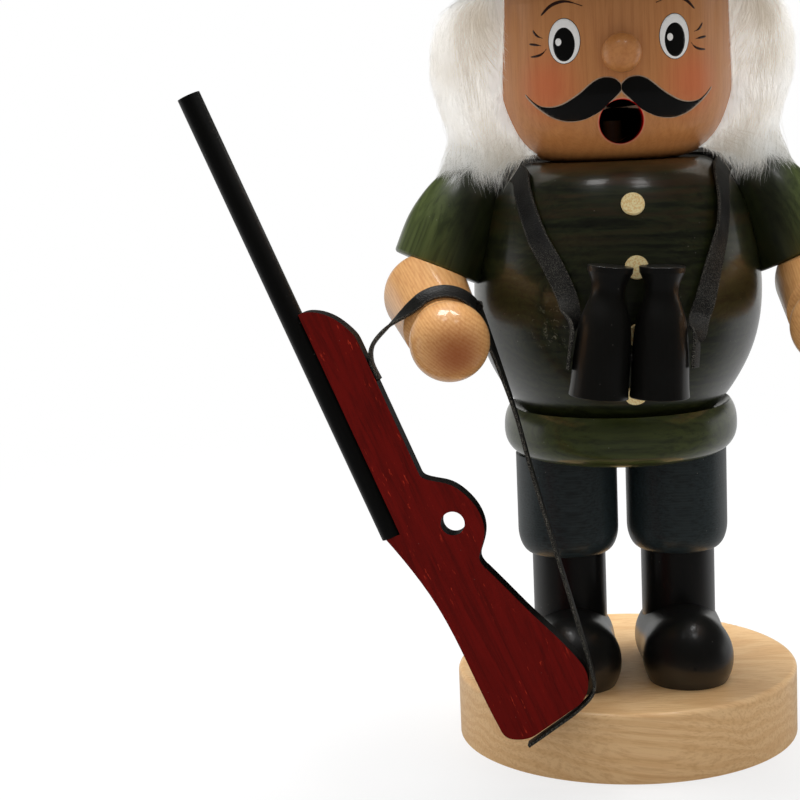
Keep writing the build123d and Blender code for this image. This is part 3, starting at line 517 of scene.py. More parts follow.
stockLook = {
    "light": paint(114, 12, 6), "dark": paint(92, 9, 4), "deep": paint(56, 5, 3),
    "ringShare": 0.3, "fibreShare": 0.4, "rings": 0.05, "fibre": 0.7, "draw": 0.05, "wander": 0.8,
    "rough": 0.5, "coat": 0.03, "coatRough": 0.2, "specular": 0.08, "bump": 0.2, "poreShare": 0.2, "lintShare": 0.1,
    "turn": (0, 22.5, 0), "faceNormal": (-0.1564, -0.9877, 0), "faceEdges": (0.75, 0.95), "edge": paint(16, 10, 8),
    "scratch": paint(190, 52, 30), "nickDraw": (1.0, 1.0, 0.16), "nickScale": 0.85, "nickEdges": (0.63, 0.7),
    "nickShare": 0.85, "wornScale": 0.06, "wornEdges": (0.42, 0.62),
}
dress(stockFinish(stockLook), "rifle_stock")


def metalFinish(name, look):
    # Cloudy between bright and dull, and rougher where dull
    material, tree, shader = newFinish(name)
    cloud = noiseOn(tree, placeOn(tree), look["cloudScale"], 5.0)
    colour = mixColour(tree, spread(tree, cloud, 0.4, 0.65), look["bright"], look["dull"])
    rough = maths(tree, "MULTIPLY_ADD", cloud, 0.25, look["rough"])
    setInputs(tree, shader, {"Base Color": colour, "Roughness": rough, "Metallic": look["metal"],
                             "Normal": bumpOn(tree, cloud, look["bump"])})
    return material


buttonLook = {"bright": paint(255, 238, 182), "dull": paint(242, 204, 134), "cloudScale": 1.6,
              "rough": 0.3, "metal": 0.0, "bump": 0.3}
trayLook = {"bright": paint(208, 172, 96), "dull": paint(150, 112, 56), "cloudScale": 0.15,
            "rough": 0.22, "metal": 1.0, "bump": 0.1}
screwLook = {"bright": paint(190, 190, 188), "dull": paint(150, 150, 148), "cloudScale": 0.6,
             "rough": 0.25, "metal": 1.0, "bump": 0.1}
dress(metalFinish("buttonGold", buttonLook), "coat_buttons")
dress(metalFinish("trayBrass", trayLook), "incense_tray")
dress(metalFinish("screwSteel", screwLook), "tray_screw")


# Head: wood with blush on the cheeks and a red mouth

headPlace = {"faceTurn": -2.4, "radius": 42.0, "mouthHeight": 221.8, "mouthRadius": 7.3, "mouthGap": 0.12,
             "blushTurn": 35.0, "blushHeight": 234.4, "blushRadius": 17.0, "blushShare": 0.56,
             # edges of the mouth's colour, its back and shade, and the rim's two edges and depth
             "mouthSoft": (0.4, 0.1), "mouthBack": (-6.0, -4.0), "mouthShade": (28.0, 41.0),
             "rimOuter": (0.65, 0.5), "rimInner": (0.05, 0.2), "rimDepth": (30.0, 34.0)}
# the mouth's deep colour is painted shade inside the bore
headColours = {"blush": paint(224, 104, 62), "mouth": paint(214, 18, 18), "mouthDeepShade": paint(8, 2, 2),
               "mouthRim": paint(214, 150, 124), "rimShare": 0.55}


def onFace(turn, height, radius=headPlace["radius"]):
    # The point at this turn from the front, in degrees, towards the left side
    angle = math.radians(turn)
    return Vector((math.sin(angle) * radius, -math.cos(angle) * radius, height))


def headFinish():
    # Blush on both cheeks, and a red mouth without lacquer, with painted shade that gets darker deeper inside
    material, tree, shader, colour = woodFinish("faceWood", headLook)
    place = placeOn(tree)
    for side in (-1, 1):
        centre = onFace(headPlace["faceTurn"] + side * headPlace["blushTurn"], headPlace["blushHeight"])
        away = vectorMaths(tree, "DISTANCE", place, tuple(centre))
        soft = product(tree, spread(tree, away, headPlace["blushRadius"], 1.0), headPlace["blushShare"])
        colour = mixColour(tree, soft, colour, headColours["blush"])
    face = onFace(headPlace["faceTurn"], 0, 1.0)
    aside = vectorMaths(tree, "DOT_PRODUCT", place, (-face.y, face.x, 0))
    ahead = vectorMaths(tree, "DOT_PRODUCT", place, (face.x, face.y, 0))
    above = maths(tree, "SUBTRACT", parted(tree, place)["Z"], headPlace["mouthHeight"])
    ring = maths(tree, "SQRT", maths(tree, "MULTIPLY_ADD", aside, aside, product(tree, above, above)))
    soft, outer, inner = (spread(tree, ring, *(headPlace["mouthRadius"] + step for step in headPlace[key]))
                          for key in ("mouthSoft", "rimOuter", "rimInner"))
    inMouth = product(tree, soft, spread(tree, ahead, *headPlace["mouthBack"]))
    # painted shade: the mouth's red darkens deeper into the bore
    shade = spread(tree, ahead, *headPlace["mouthShade"])
    inside = mixColour(tree, shade, headColours["mouthDeepShade"], headColours["mouth"])
    colour = mixColour(tree, inMouth, colour, inside)
    edge = spread(tree, ahead, *headPlace["rimDepth"], 0.0, headColours["rimShare"])
    edge = product(tree, product(tree, outer, inner), edge)
    setInputs(tree, shader, {
        "Base Color": mixColour(tree, edge, colour, headColours["mouthRim"]),
        "Coat Weight": maths(tree, "MULTIPLY_ADD", inMouth, -headLook["coat"], headLook["coat"]),
        "Specular IOR Level": maths(tree, "MULTIPLY_ADD", inMouth, -0.45, 0.5)})
    return material


dress(headFinish(), "head")
print("wood, paint and metal finishes done")


# Painted face: thin films of paint laid on the head

def surfaceOf(*names):
    # What rays can be dropped on: the outside of these pieces
    shape = bmesh.new()
    for name in names:
        shape.from_mesh(nodes[name].data)
    bmesh.ops.remove_doubles(shape, verts=shape.verts, dist=0.000002)
    tree = BVHTree.FromBMesh(shape)
    shape.free()
    return tree


headSurface = surfaceOf("head")


def dropOn(surface, turn, height, lift):
    # The point on a round piece at this turn and height, in metres, raised along its normal
    start = onFace(turn, height, 140.0) * mm
    hit, normal, _, _ = surface.ray_cast(start, (Vector((0, 0, height * mm)) - start).normalized())
    if normal.dot(start - hit) < 0:
        normal = -normal
    return hit + normal * lift * mm, normal


def smoothLoop(points, steps, closed=True):
    # Curve through the points
    count = len(points)
    made = []
    for i in range(count if closed else count - 1):
        ends = [points[(i + k) % count] if closed else points[min(max(i + k, 0), count - 1)] for k in (-1, 0, 1, 2)]
        for s in range(steps):
            t = s / steps
            a, b, c, d = (0.5 * w for w in (-t + 2 * t * t - t ** 3, 2 - 5 * t * t + 3 * t ** 3,
                                            t + 4 * t * t - 3 * t ** 3, t ** 3 - t * t))
            made.append(tuple(a * e0 + b * e1 + c * e2 + d * e3 for e0, e1, e2, e3 in zip(*ends)))
    if not closed:
        made.append(tuple(points[-1]))
    return made


paintLook = {"flowScale": 0.9, "rough": 0.25, "flowRough": 0.15, "coat": 0.3, "coatRough": 0.1, "bump": 0.08}


def paintFinish(name, colour, unevenness=0.2):
    # Brushed paint, a little deeper where it flowed together
    material, tree, shader = newFinish(name)
    flow = noiseOn(tree, placeOn(tree), paintLook["flowScale"], 3.0)
    deeper = tuple(c * (1 - unevenness) for c in colour[:3]) + (1,)
    setInputs(tree, shader, {
        "Base Color": mixColour(tree, spread(tree, flow, 0.35, 0.7), colour, deeper),
        "Roughness": maths(tree, "MULTIPLY_ADD", flow, paintLook["flowRough"], paintLook["rough"]),
        "Coat Weight": paintLook["coat"], "Coat Roughness": paintLook["coatRough"],
        "Normal": bumpOn(tree, flow, paintLook["bump"])})
    return material


paints = {
    "black": paintFinish("facePaintBlack", paint(12, 12, 13)),
    "white": paintFinish("facePaintWhite", paint(252, 252, 250), 0.04),
    "brown": paintFinish("facePaintBrown", paint(50, 18, 9)),
    "rim": paintFinish("facePaintRim", paint(186, 160, 136)),
}


def finishPiece(name, mesh, material, body, replaced=()):
    # Makes the object and says its slot, its body and the CAD pieces whose place it takes
    mesh.materials.append(material)
    made = bpy.data.objects.new(name, mesh)
    bpy.context.scene.collection.objects.link(made)
    for polygon in mesh.polygons:
        polygon.use_smooth = True
    if replaced:
        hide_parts(*replaced)
    if body:
        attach(made, body)
    return made


# One degree of turn in millimetres on the head, the size of a film's facets, and how far its underside is sunk
filmLook = {"arc": math.radians(1) * headPlace["radius"], "facets": (0.7, 0.9), "sunk": -0.15}


def keepOffMouth(flat):
    # Paint ends at the mouth's edge
    middle = Vector((headPlace["faceTurn"] * filmLook["arc"], headPlace["mouthHeight"], 0))
    reach = headPlace["mouthRadius"] + headPlace["mouthGap"]
    inside = {v for v in flat.verts if (v.co - middle).length < reach}
    bmesh.ops.delete(flat, geom=[f for f in flat.faces if all(v in inside for v in f.verts)], context="FACES")
    for v in flat.verts:
        if (v.co - middle).length < reach:
            v.co = middle + (v.co - middle).normalized() * reach


def paintFilm(name, outlines, lift, material):
    # Closed films of paint: each outline is a list of turns in degrees and heights in millimetres
    shape = bmesh.new()
    arc = filmLook["arc"]
    for outline in outlines:
        flat = bmesh.new()
        rim = [(turn * arc, height) for turn, height in outline]
        flat.faces.new([flat.verts.new((x, y, 0)) for x, y in rim])
        for axis, step in enumerate(filmLook["facets"]):
            way = Vector((1 - axis, axis, 0))
            low, high = min(point[axis] for point in rim), max(point[axis] for point in rim)
            cut = math.ceil(low / step) * step
            while cut < high:
                bmesh.ops.bisect_plane(flat, geom=flat.verts[:] + flat.edges[:] + flat.faces[:], dist=1e-6,
                                       plane_co=way * cut, plane_no=way)
                cut += step
        bmesh.ops.triangulate(flat, faces=flat.faces[:])
        keepOffMouth(flat)
        tops, bottoms = {}, {}
        for v in flat.verts:
            tops[v] = shape.verts.new(dropOn(headSurface, v.co.x / arc, v.co.y, lift)[0])
            bottoms[v] = shape.verts.new(dropOn(headSurface, v.co.x / arc, v.co.y, filmLook["sunk"])[0])
        for f in flat.faces:
            shape.faces.new([tops[v] for v in f.verts])
            shape.faces.new([bottoms[v] for v in reversed(f.verts)])
        for e in flat.edges:
            if e.is_boundary:
                a, b = e.verts
                shape.faces.new([tops[a], bottoms[a], bottoms[b], tops[b]])
        flat.free()
    finishPiece(name, meshFrom(name, shape), material, "figure")


def oval(turn, height, halfTurn, halfHeight, count=40):
    angles = [2 * math.pi * k / count for k in range(count)]
    return [(turn + halfTurn * math.cos(angle), height + halfHeight * math.sin(angle)) for angle in angles]


def mirrored(outline):
    middle = headPlace["faceTurn"]
    return [(2 * middle - turn, height) for turn, height in reversed(outline)]


def brushStroke(points, width):
    # A stroke that thins towards both ends
    line = smoothLoop(points, 6, closed=False)
    left, right = [], []
    arc = filmLook["arc"]
    for i, (turn, height) in enumerate(line):
        ahead, back = line[min(i + 1, len(line) - 1)], line[max(i - 1, 0)]
        way = Vector(((ahead[0] - back[0]) * arc, ahead[1] - back[1])).normalized()
        share = i / (len(line) - 1)
        half = width / 2 * (0.25 + 0.75 * math.sin(math.pi * min(share * 1.25, 1.0)) ** 0.6)
        left.append((turn - way.y * half / arc, height + way.x * half))
        right.append((turn + way.y * half / arc, height - way.x * half))
    return left + right[::-1]


moustacheTop = [(-49.9, 231.9), (-46.0, 229.5), (-41.6, 227.75), (-36.1, 227.3), (-30.9, 227.9), (-26.0, 229.4),
                (-21.1, 231.5), (-17.0, 233.9), (-13.5, 235.6), (-9.6, 236.4), (-5.7, 235.9), (-3.0, 234.3)]
moustacheLow = [(-2.5, 233.0), (-3.0, 231.5), (-7.1, 228.7), (-11.1, 226.0), (-15.7, 224.2), (-20.3, 223.0),
                (-26.2, 222.5), (-31.2, 222.9), (-36.9, 224.3), (-42.4, 226.8), (-46.7, 229.4)]
# how far the moustache's rim reaches past its paint: share of the turn, towards the nose, away from it, up and down
moustacheRim = {"share": 0.012, "inner": 0.35, "innerFrom": -8, "outer": -0.2, "rise": 0.3}
# turn, height, half the width in degrees, half the height; the line shows all round the white
eye = {"white": (-28.1, 248.8, 7.6, 7.3), "line": (-28.1, 248.8, 7.9, 7.5), "pupil": (-28.2, 247.7, 5.3, 5.5),
       "glint": (-30.8, 248.6, 1.5, 1.25), "farGlint": -5.2}
strokeWidths = {"crowsFeet": 0.8, "brow": 1.1}
crowsFeet = [[(-44.4, 253.0), (-43.2, 251.8), (-41.5, 250.8), (-39.0, 250.2)],
             [(-46.8, 248.6), (-43.4, 248.2), (-40.0, 247.8)],
             [(-46.2, 244.3), (-42.2, 244.5), (-39.3, 245.2), (-37.1, 246.6)]]
brow = [(-39.5, 257.6), (-34.0, 260.6), (-27.0, 261.6), (-19.0, 259.8)]


def makeFace():
    # Where films overlap, the later one lies higher
    lobe = smoothLoop(moustacheTop + moustacheLow, 4)
    middle = headPlace["faceTurn"]
    wide = []
    for i, (turn, height) in enumerate(lobe):
        push = moustacheRim["inner" if turn > moustacheRim["innerFrom"] else "outer"]
        rise = moustacheRim["rise"] * (1 if i < len(lobe) / 2 else -1)
        wide.append((turn + (turn - middle) * moustacheRim["share"] + push, height + rise))
    white, line, pupil = (oval(*eye[part]) for part in ("white", "line", "pupil"))
    for name, outline, lift, colour in (("moustacheRim", wide, 0.03, "rim"), ("moustachePaint", lobe, 0.08, "black"),
                                        ("eyeLine", line, 0.02, "brown"), ("eyeWhite", white, 0.06, "white"),
                                        ("eyePupil", pupil, 0.1, "black")):
        paintFilm(name, [outline, mirrored(outline)], lift, paints[colour])
    # both glints sit on the same side of their pupils
    glint = oval(*eye["glint"], 20)
    farGlint = [(turn - 2 * (eye["glint"][0] - middle) + eye["farGlint"], height) for turn, height in glint]
    paintFilm("eyeGlint", [glint, farGlint], 0.14, paints["white"])
    strokes = [brushStroke(points, strokeWidths["crowsFeet"]) for points in crowsFeet]
    strokes.append(brushStroke(brow, strokeWidths["brow"]))
    paintFilm("faceStrokes", strokes + [mirrored(s) for s in strokes], 0.05, paints["brown"])


makeFace()
print("face painted")


# Leather laces

laceLook = {
    "thickness": 1.1, "corner": 0.32, "steps": 8,
    "skin": paint(31, 31, 29), "skinDark": paint(18, 18, 17),
    "suede": paint(120, 116, 106), "suedeDark": paint(20, 20, 18),
    "edges": (0.72, 0.98), "edgeShare": 0.8, "wornFade": 8.0, "rough": 0.5, "edgeRough": 0.3, "specular": 0.35,
    "cellScale": 1.9, "napScale": 3.4, "napEdges": (0.46, 0.66), "napRise": 2.0,
    "cloudScale": 0.16, "cloudEdges": (0.35, 0.7), "bump": 0.35,
}


def leatherFinish(name, look):
    # Smooth skin side, with grey suede along the cut edges and below the height where the lace is worn
    material, tree, shader = newFinish(name)
    place = placeOn(tree)
    across = parted(tree, addNode(tree, "ShaderNodeUVMap", uv_map="lace").outputs[0])["Y"]
    cells = addNode(tree, "ShaderNodeTexVoronoi", {"Vector": place, "Scale": laceLook["cellScale"]})
    nap = noiseOn(tree, place, laceLook["napScale"], 4.0)
    cloud = spread(tree, noiseOn(tree, place, laceLook["cloudScale"], 3.0), *laceLook["cloudEdges"])
    skin = mixColour(tree, cloud, laceLook["skin"], laceLook["skinDark"])
    suede = mixColour(tree, spread(tree, nap, *laceLook["napEdges"]), laceLook["suedeDark"], laceLook["suede"])
    worn = spread(tree, parted(tree, place)["Z"], look["wornTop"], look["wornTop"] - laceLook["wornFade"])
    edge = spread(tree, maths(tree, "ABSOLUTE", across), *laceLook["edges"])
    edge = maths(tree, "MAXIMUM", edge, product(tree, worn, look["worn"]))
    height = maths(tree, "MULTIPLY_ADD", product(tree, nap, edge), laceLook["napRise"], cells.outputs["Distance"])
    setInputs(tree, shader, {
        "Base Color": mixColour(tree, product(tree, edge, laceLook["edgeShare"]), skin, suede),
        "Roughness": maths(tree, "MULTIPLY_ADD", edge, laceLook["edgeRough"], laceLook["rough"]),
        "Specular IOR Level": laceLook["specular"], "Normal": bumpOn(tree, height, laceLook["bump"], 0.0003)})
    return material


def laceMesh(name, stations, width, thickness):
    # A lace with rounded edges along stations of centre and across direction, in metres
    flat = [tuple(centre) + tuple(across.normalized()) for centre, across in stations]
    line = smoothLoop(flat, laceLook["steps"], closed=False)
    half, thin, corner = width / 2 * mm, thickness / 2 * mm, laceLook["corner"] * mm
    outline = []
    for quarter, (sx, sy) in enumerate(((1, 1), (-1, 1), (-1, -1), (1, -1))):
        for k in range(3):
            angle = math.radians(90 * quarter + 45 * k)
            outline.append((sx * (half - corner) + corner * math.cos(angle),
                            sy * (thin - corner) + corner * math.sin(angle)))
    shape = bmesh.new()
    uv = shape.loops.layers.uv.new("lace")
    rows, lengths, run = [], [], 0.0
    for i, values in enumerate(line):
        centre, across = Vector(values[:3]), Vector(values[3:])
        ahead = Vector(line[min(i + 1, len(line) - 1)][:3]) - Vector(line[max(i - 1, 0)][:3])
        ahead.normalize()
        across = (across - ahead * across.dot(ahead)).normalized()
        up = ahead.cross(across)
        run += (centre - Vector(line[max(i - 1, 0)][:3])).length
        lengths.append(run)
        rows.append([shape.verts.new(centre + across * x + up * y) for x, y in outline])
    count = len(outline)
    for i in range(len(rows) - 1):
        for k in range(count):
            n = (k + 1) % count
            face = shape.faces.new([rows[i][k], rows[i][n], rows[i + 1][n], rows[i + 1][k]])
            for loop, (row, col) in zip(face.loops, ((i, k), (i, n), (i + 1, n), (i + 1, k))):
                loop[uv].uv = (lengths[row], outline[col][0] / half)
    for row in (rows[0][::-1], rows[-1]):
        face = shape.faces.new(row)
        for loop in face.loops:
            loop[uv].uv = (0, 1.0)
    return meshFrom(name, shape)


coatSurface = surfaceOf("coat_body")
strapLook = {
    "width": 7.0, "wornTop": 186.0, "worn": 0.45,
    # turn and height behind the neck
    "loop": [(180.0, 205.6), (158.0, 205.6), (135.0, 205.6), (112.0, 205.6), (90.0, 205.6), (70.0, 205.0)],
    "loopLift": 1.4,
    # turn, height, lift and roll
    "front": {-1: [(58.4, 203.3, 1.25, 0), (51.9, 198.8, 1.25, 0), (44.1, 191.2, 1.3, 3), (37.1, 183.2, 2.2, 14),
                   (30.4, 175.1, 2.4, 18), (26.5, 169.2, 2.8, 24), (23.3, 163.5, 4.6, 38)],
              1: [(57.0, 203.2, 1.25, 0), (50.8, 199.9, 1.25, 0), (44.0, 192.4, 1.8, -12), (38.7, 184.4, 2.1, -15),
                  (34.6, 178.0, 1.7, -6), (30.3, 170.4, 1.7, 6), (25.6, 162.2, 3.3, 24), (22.2, 157.0, 4.8, 34)]},
    # share of the tube's length, radius share, turn from the coat outwards, turn of the lace's face
    "tubeSide": {-1: [(0.52, 0.97, 86.0, 86.0), (0.38, 0.98, 88.0, 84.0), (0.22, 0.99, 90.0, 82.0)],
                 1: [(0.46, 1.08, 92.0, 116.0), (0.34, 1.06, 95.0, 116.0), (0.22, 1.04, 97.0, 114.0)]},
    "tubeFeet": {1: (6.05, 132.3), -1: (-13.95, 133.3)}, "tubeLean": {1: 0.042, -1: 0.118},
    "tubeY": -60.6, "tubeRadius": 9.9, "tubeLength": 42.8, "endStand": 1.0,
}


def strapStations(side):
    # From behind the neck over one shoulder and down to the tube
    places = [(turn, height, strapLook["loopLift"], 0.0) for turn, height in strapLook["loop"]]
    places += strapLook["front"][side]
    seats = [dropOn(coatSurface, side * turn, height, lift) for turn, height, lift, _ in places]
    stations = []
    for i, (centre, normal) in enumerate(seats):
        ahead = seats[min(i + 1, len(seats) - 1)][0] - seats[max(i - 1, 0)][0]
        across = ahead.cross(normal).normalized()
        across.rotate(Quaternion(ahead.normalized(), math.radians(places[i][3] * side)))
        stations.append((centre, across))
    footX, footZ = strapLook["tubeFeet"][side]
    foot = Vector((footX, strapLook["tubeY"], footZ))
    along = Vector((strapLook["tubeLean"][side], 0, 1)) * strapLook["tubeLength"]
    for share, radius, turn, face in strapLook["tubeSide"][side]:
        turn, face = math.radians(turn), math.radians(face)
        out = Vector((side * math.sin(turn), math.cos(turn), 0))
        facing = Vector((side * math.sin(face), math.cos(face), 0))
        centre = foot + along * share + out * (strapLook["tubeRadius"] * radius + strapLook["endStand"])
        stations.append((centre * mm, Vector((0, 0, 1)).cross(facing) * -side))
    return stations


def makeStraps():
    right, left = strapStations(-1), strapStations(1)
    flipped = [(centre, -across) for centre, across in left]
    mesh = laceMesh("neckLace", right[::-1] + flipped[1:], strapLook["width"], laceLook["thickness"])
    lace = finishPiece("neckLace", mesh, leatherFinish("neckLeather", strapLook), None,
                       ("neck_strap", "right_strap_front", "left_strap_front"))
    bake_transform(lace)


makeStraps()


slingLook = {
    "width": 4.8, "wornTop": 100.0, "worn": 0.1,
    # the band round the wrist: its middle, radius, slope, first and last turn, and number of stations
    "handCentre": (-61.9387, -61.994, 153.732), "armAhead": (0.137008, -0.962669, -0.233445),
    "bandBack": 12.6, "bandRadius": 13.0, "wristSlope": 0.71875, "angles": (-42, 75), "bandStations": 10,
    # the rifle's own axes, and the places on it as across, along and depth
    "rifleOrigin": (-83.2522, -55.376, 88.3895), "yaw": 9.0, "lean": 22.5,
    "foreEnd": [(18.3, 49.7, 0.0), (18.3, 56.1, 0.0), (21.0, 61.0, -0.6), (27.4, 64.2, -4.8)],
    "fall": [(54.5, 24.1, -4.8), (51.7, 3.2, -2.4), (47.6, -28.9, -0.6), (44.3, -54.6, 0.0), (42.4, -67.5, 0.0),
             (40.2, -74.3, 0.0), (33.2, -78.1, 0.0), (24.6, -80.5, 0.0), (12.3, -83.5, 0.0)],
}


def makeSling(look):
    # From the fore-end round the wrist and down to the butt
    yaw, lean = math.radians(look["yaw"]), math.radians(look["lean"])
    right = Vector((math.cos(yaw), -math.sin(yaw), 0))
    front = Vector((-math.sin(yaw), -math.cos(yaw), 0))
    across = right * math.cos(lean) + Vector((0, 0, math.sin(lean)))
    along = front.cross(across)
    origin = Vector(look["rifleOrigin"])
    back = -Vector(look["armAhead"])
    side = (right - back * right.dot(back)).normalized()
    top = side.cross(back)
    hand = Vector(look["handCentre"])

    def onStock(a, b, depth):
        return (origin + across * a + along * b + front * depth) * mm, -front

    stations = [onStock(*p) for p in look["foreEnd"]]
    low, high = look["angles"]
    for k in range(look["bandStations"]):
        angle = math.radians(low + (high - low) * k / (look["bandStations"] - 1))
        out = top * math.cos(angle) + side * math.sin(angle)
        centre = hand + back * look["bandBack"] + out * look["bandRadius"]
        stations.append((centre * mm, (back + out * look["wristSlope"]).normalized()))
    stations += [onStock(*p) for p in look["fall"]]
    mesh = laceMesh("slingLace", stations, look["width"], laceLook["thickness"])
    finishPiece("slingLace", mesh, leatherFinish("slingLeather", look), "rifle", ("rifle_sling",))


makeSling(slingLook)
print("laces done")


# Hat cord: two twisted strands

cordLook = {"ring": 44.5, "height": 275.7, "strand": 1.15, "twist": 0.95, "turns": 44, "sides": 8, "steps": 720,
            "dark": paint(66, 84, 40), "light": paint(104, 122, 62), "threadScale": 2.6,
            "rough": 0.8, "sheen": 0.3, "bump": 0.4}


def cordFinish(look):
    material, tree, shader = newFinish("cordCotton")
    threads = noiseOn(tree, placeOn(tree), look["threadScale"], 3.0)
    setInputs(tree, shader, {
        "Base Color": mixColour(tree, spread(tree, threads, 0.35, 0.65), look["dark"], look["light"]),
        "Roughness": look["rough"], "Sheen Weight": look["sheen"],
        "Normal": bumpOn(tree, threads, look["bump"], 0.0003)})
    return material


def makeHatCord(look):
    shape = bmesh.new()
    for strand in range(2):
        rows = []
        for i in range(look["steps"]):
            angle = 2 * math.pi * i / look["steps"]
            phase = angle * look["turns"] + math.pi * strand
            out = Vector((math.cos(angle), math.sin(angle), 0))
            centre = out * (look["ring"] + look["twist"] * math.cos(phase))
            centre.z = look["height"] + look["twist"] * math.sin(phase)
            row = []
            for k in range(look["sides"]):
                turn = 2 * math.pi * k / look["sides"]
                aside = out * look["strand"] * math.cos(turn) + Vector((0, 0, look["strand"] * math.sin(turn)))
                row.append(shape.verts.new((centre + aside) * mm))
            rows.append(row)
        for a, b in zip(rows, rows[1:] + rows[:1]):
            for k in range(look["sides"]):
                n = (k + 1) % look["sides"]
                shape.faces.new([a[k], b[k], b[n], a[n]])
    mesh = meshFrom("hatCordTwist", shape)
    finishPiece("hatCordTwist", mesh, cordFinish(look), "figure", ("hat_cord",))


makeHatCord(cordLook)


# Fur: an undercoat and fine strands that fall along it in tufts

furLook = {
    "pieces": 8, "strands": 6900, "thickness": 0.1, "points": 5, "tufts": 420, "strays": 44, "seed": 11,
    "low": 211.5, "high": 266.8, "skinTop": 266.0, "skinFoot": 210.5, "undercoat": 0.7, "length": (10.0, 19.0),
    "around": 170, "levels": 26,
    # size of the lumps, and their waves round and up, start and share
    "lumps": 1.4, "lumpWaves": [(8.0, 0.07, 0.5, 1.0), (22.0, 0.12, 7.5, 0.5)],
    # over how many degrees the front edge rolls in, how many more low down, and over which heights they come in
    "roll": 15, "rollMore": 11, "rollFrom": 228, "rollDrop": 17,
    # half the strip's opening at the face, in degrees, by height
    "border": [(267.0, 64.5), (258.0, 65.0), (247.5, 67.4), (236.6, 69.6), (230.0, 69.2), (225.0, 67.5), (221.0, 66.0),
               (211.5, 65.0)],
    # outer radius by height
    "profile": [(266.8, 54.0), (264.0, 59.0), (257.0, 62.2), (247.0, 62.8), (235.0, 62.4), (226.0, 58.8),
                (219.0, 54.6), (213.0, 53.6), (207.0, 55.5), (200.0, 53.0), (193.0, 50.0)],
    # where the tips end, by turn from the front
    "foot": [(60.0, 215.0), (66.0, 213.0), (70.0, 211.0), (75.0, 207.0), (80.0, 201.5), (86.0, 195.5), (92.0, 192.0),
             (180.0, 193.0)],
}


furShade = {
    "tips": paint(253, 252, 250), "cloud": paint(246, 243, 238), "rough": 0.55, "specular": 0.3, "bump": 0.3,
    # painted shade: grey between the strands low down, a darker warm tone beside the face, grey at the foot
    "gapShade": paint(176, 172, 162), "gapHeights": (222.0, 206.0), "gapShares": (0.3, 0.9),
    "front": paint(194, 179, 156), "faceShadeDepths": (-13.0, -25.0), "faceShadeShares": (0.0, 0.85),
    "foot": paint(170, 172, 168), "footShadeHeights": (224.0, 202.0), "footShadeShares": (0.0, 0.55),
    "cloudScale": 0.09, "cloudEdges": (0.35, 0.7), "fineScale": 1.2, "fineDraw": (1.0, 1.0, 0.1),
    "fineEdges": (0.5, 0.66),
    # painted shade on the hidden side of the strip, by radius, height and depth
    "hiddenShade": paint(60, 55, 48), "hiddenShare": 0.9, "hiddenRadii": (50.0, 46.0), "hiddenHeights": (214.0, 212.0),
    "hiddenDepths": (-10.0, 0.0),
    # painted glow: the fur gives off light of its own, standing in for light that scatters inside white fur
    "glow": 0.27,
}


def furFinish():
    # Clouded white, with painted shade: grey in the gaps between the strands, darker beside the face, greyer at the
    # foot and dark on the hidden side; and a painted glow
    material, tree, shader = newFinish("rabbitFur")
    place = placeOn(tree)
    parts = parted(tree, place)
    cloud = spread(tree, noiseOn(tree, place, furShade["cloudScale"], 3.0), *furShade["cloudEdges"])
    fine = noiseOn(tree, stretched(tree, place, furShade["fineDraw"]), furShade["fineScale"], 3.0)
    gapShade = spread(tree, parts["Z"], *furShade["gapHeights"], *furShade["gapShares"])
    # painted shade on the hidden side, which shows only through the gap under the chin
    beside = addNode(tree, "ShaderNodeCombineXYZ", {0: parts["X"], 1: parts["Y"]}).outputs[0]
    hiddenShade = furShade["hiddenShare"]
    for value, edges in ((vectorMaths(tree, "LENGTH", beside), "hiddenRadii"), (parts["Z"], "hiddenHeights"),
                         (parts["Y"], "hiddenDepths")):
        hiddenShade = product(tree, spread(tree, value, *furShade[edges]), hiddenShade)
    colour = mixColour(tree, cloud, furShade["tips"], furShade["cloud"])
    for mask, tint in (
            (product(tree, spread(tree, fine, *furShade["fineEdges"]), gapShade), "gapShade"),
            (spread(tree, parts["Y"], *furShade["faceShadeDepths"], *furShade["faceShadeShares"]), "front"),
            (spread(tree, parts["Z"], *furShade["footShadeHeights"], *furShade["footShadeShares"]), "foot"),
            (hiddenShade, "hiddenShade")):
        colour = mixColour(tree, mask, colour, furShade[tint])
    setInputs(tree, shader, {
        "Base Color": colour, "Roughness": furShade["rough"], "Specular IOR Level": furShade["specular"],
        # painted glow: the fur gives off light of its own
        "Emission Color": colour, "Emission Strength": furShade["glow"],
        "Normal": bumpOn(tree, fine, furShade["bump"], 0.0004)})
    return material


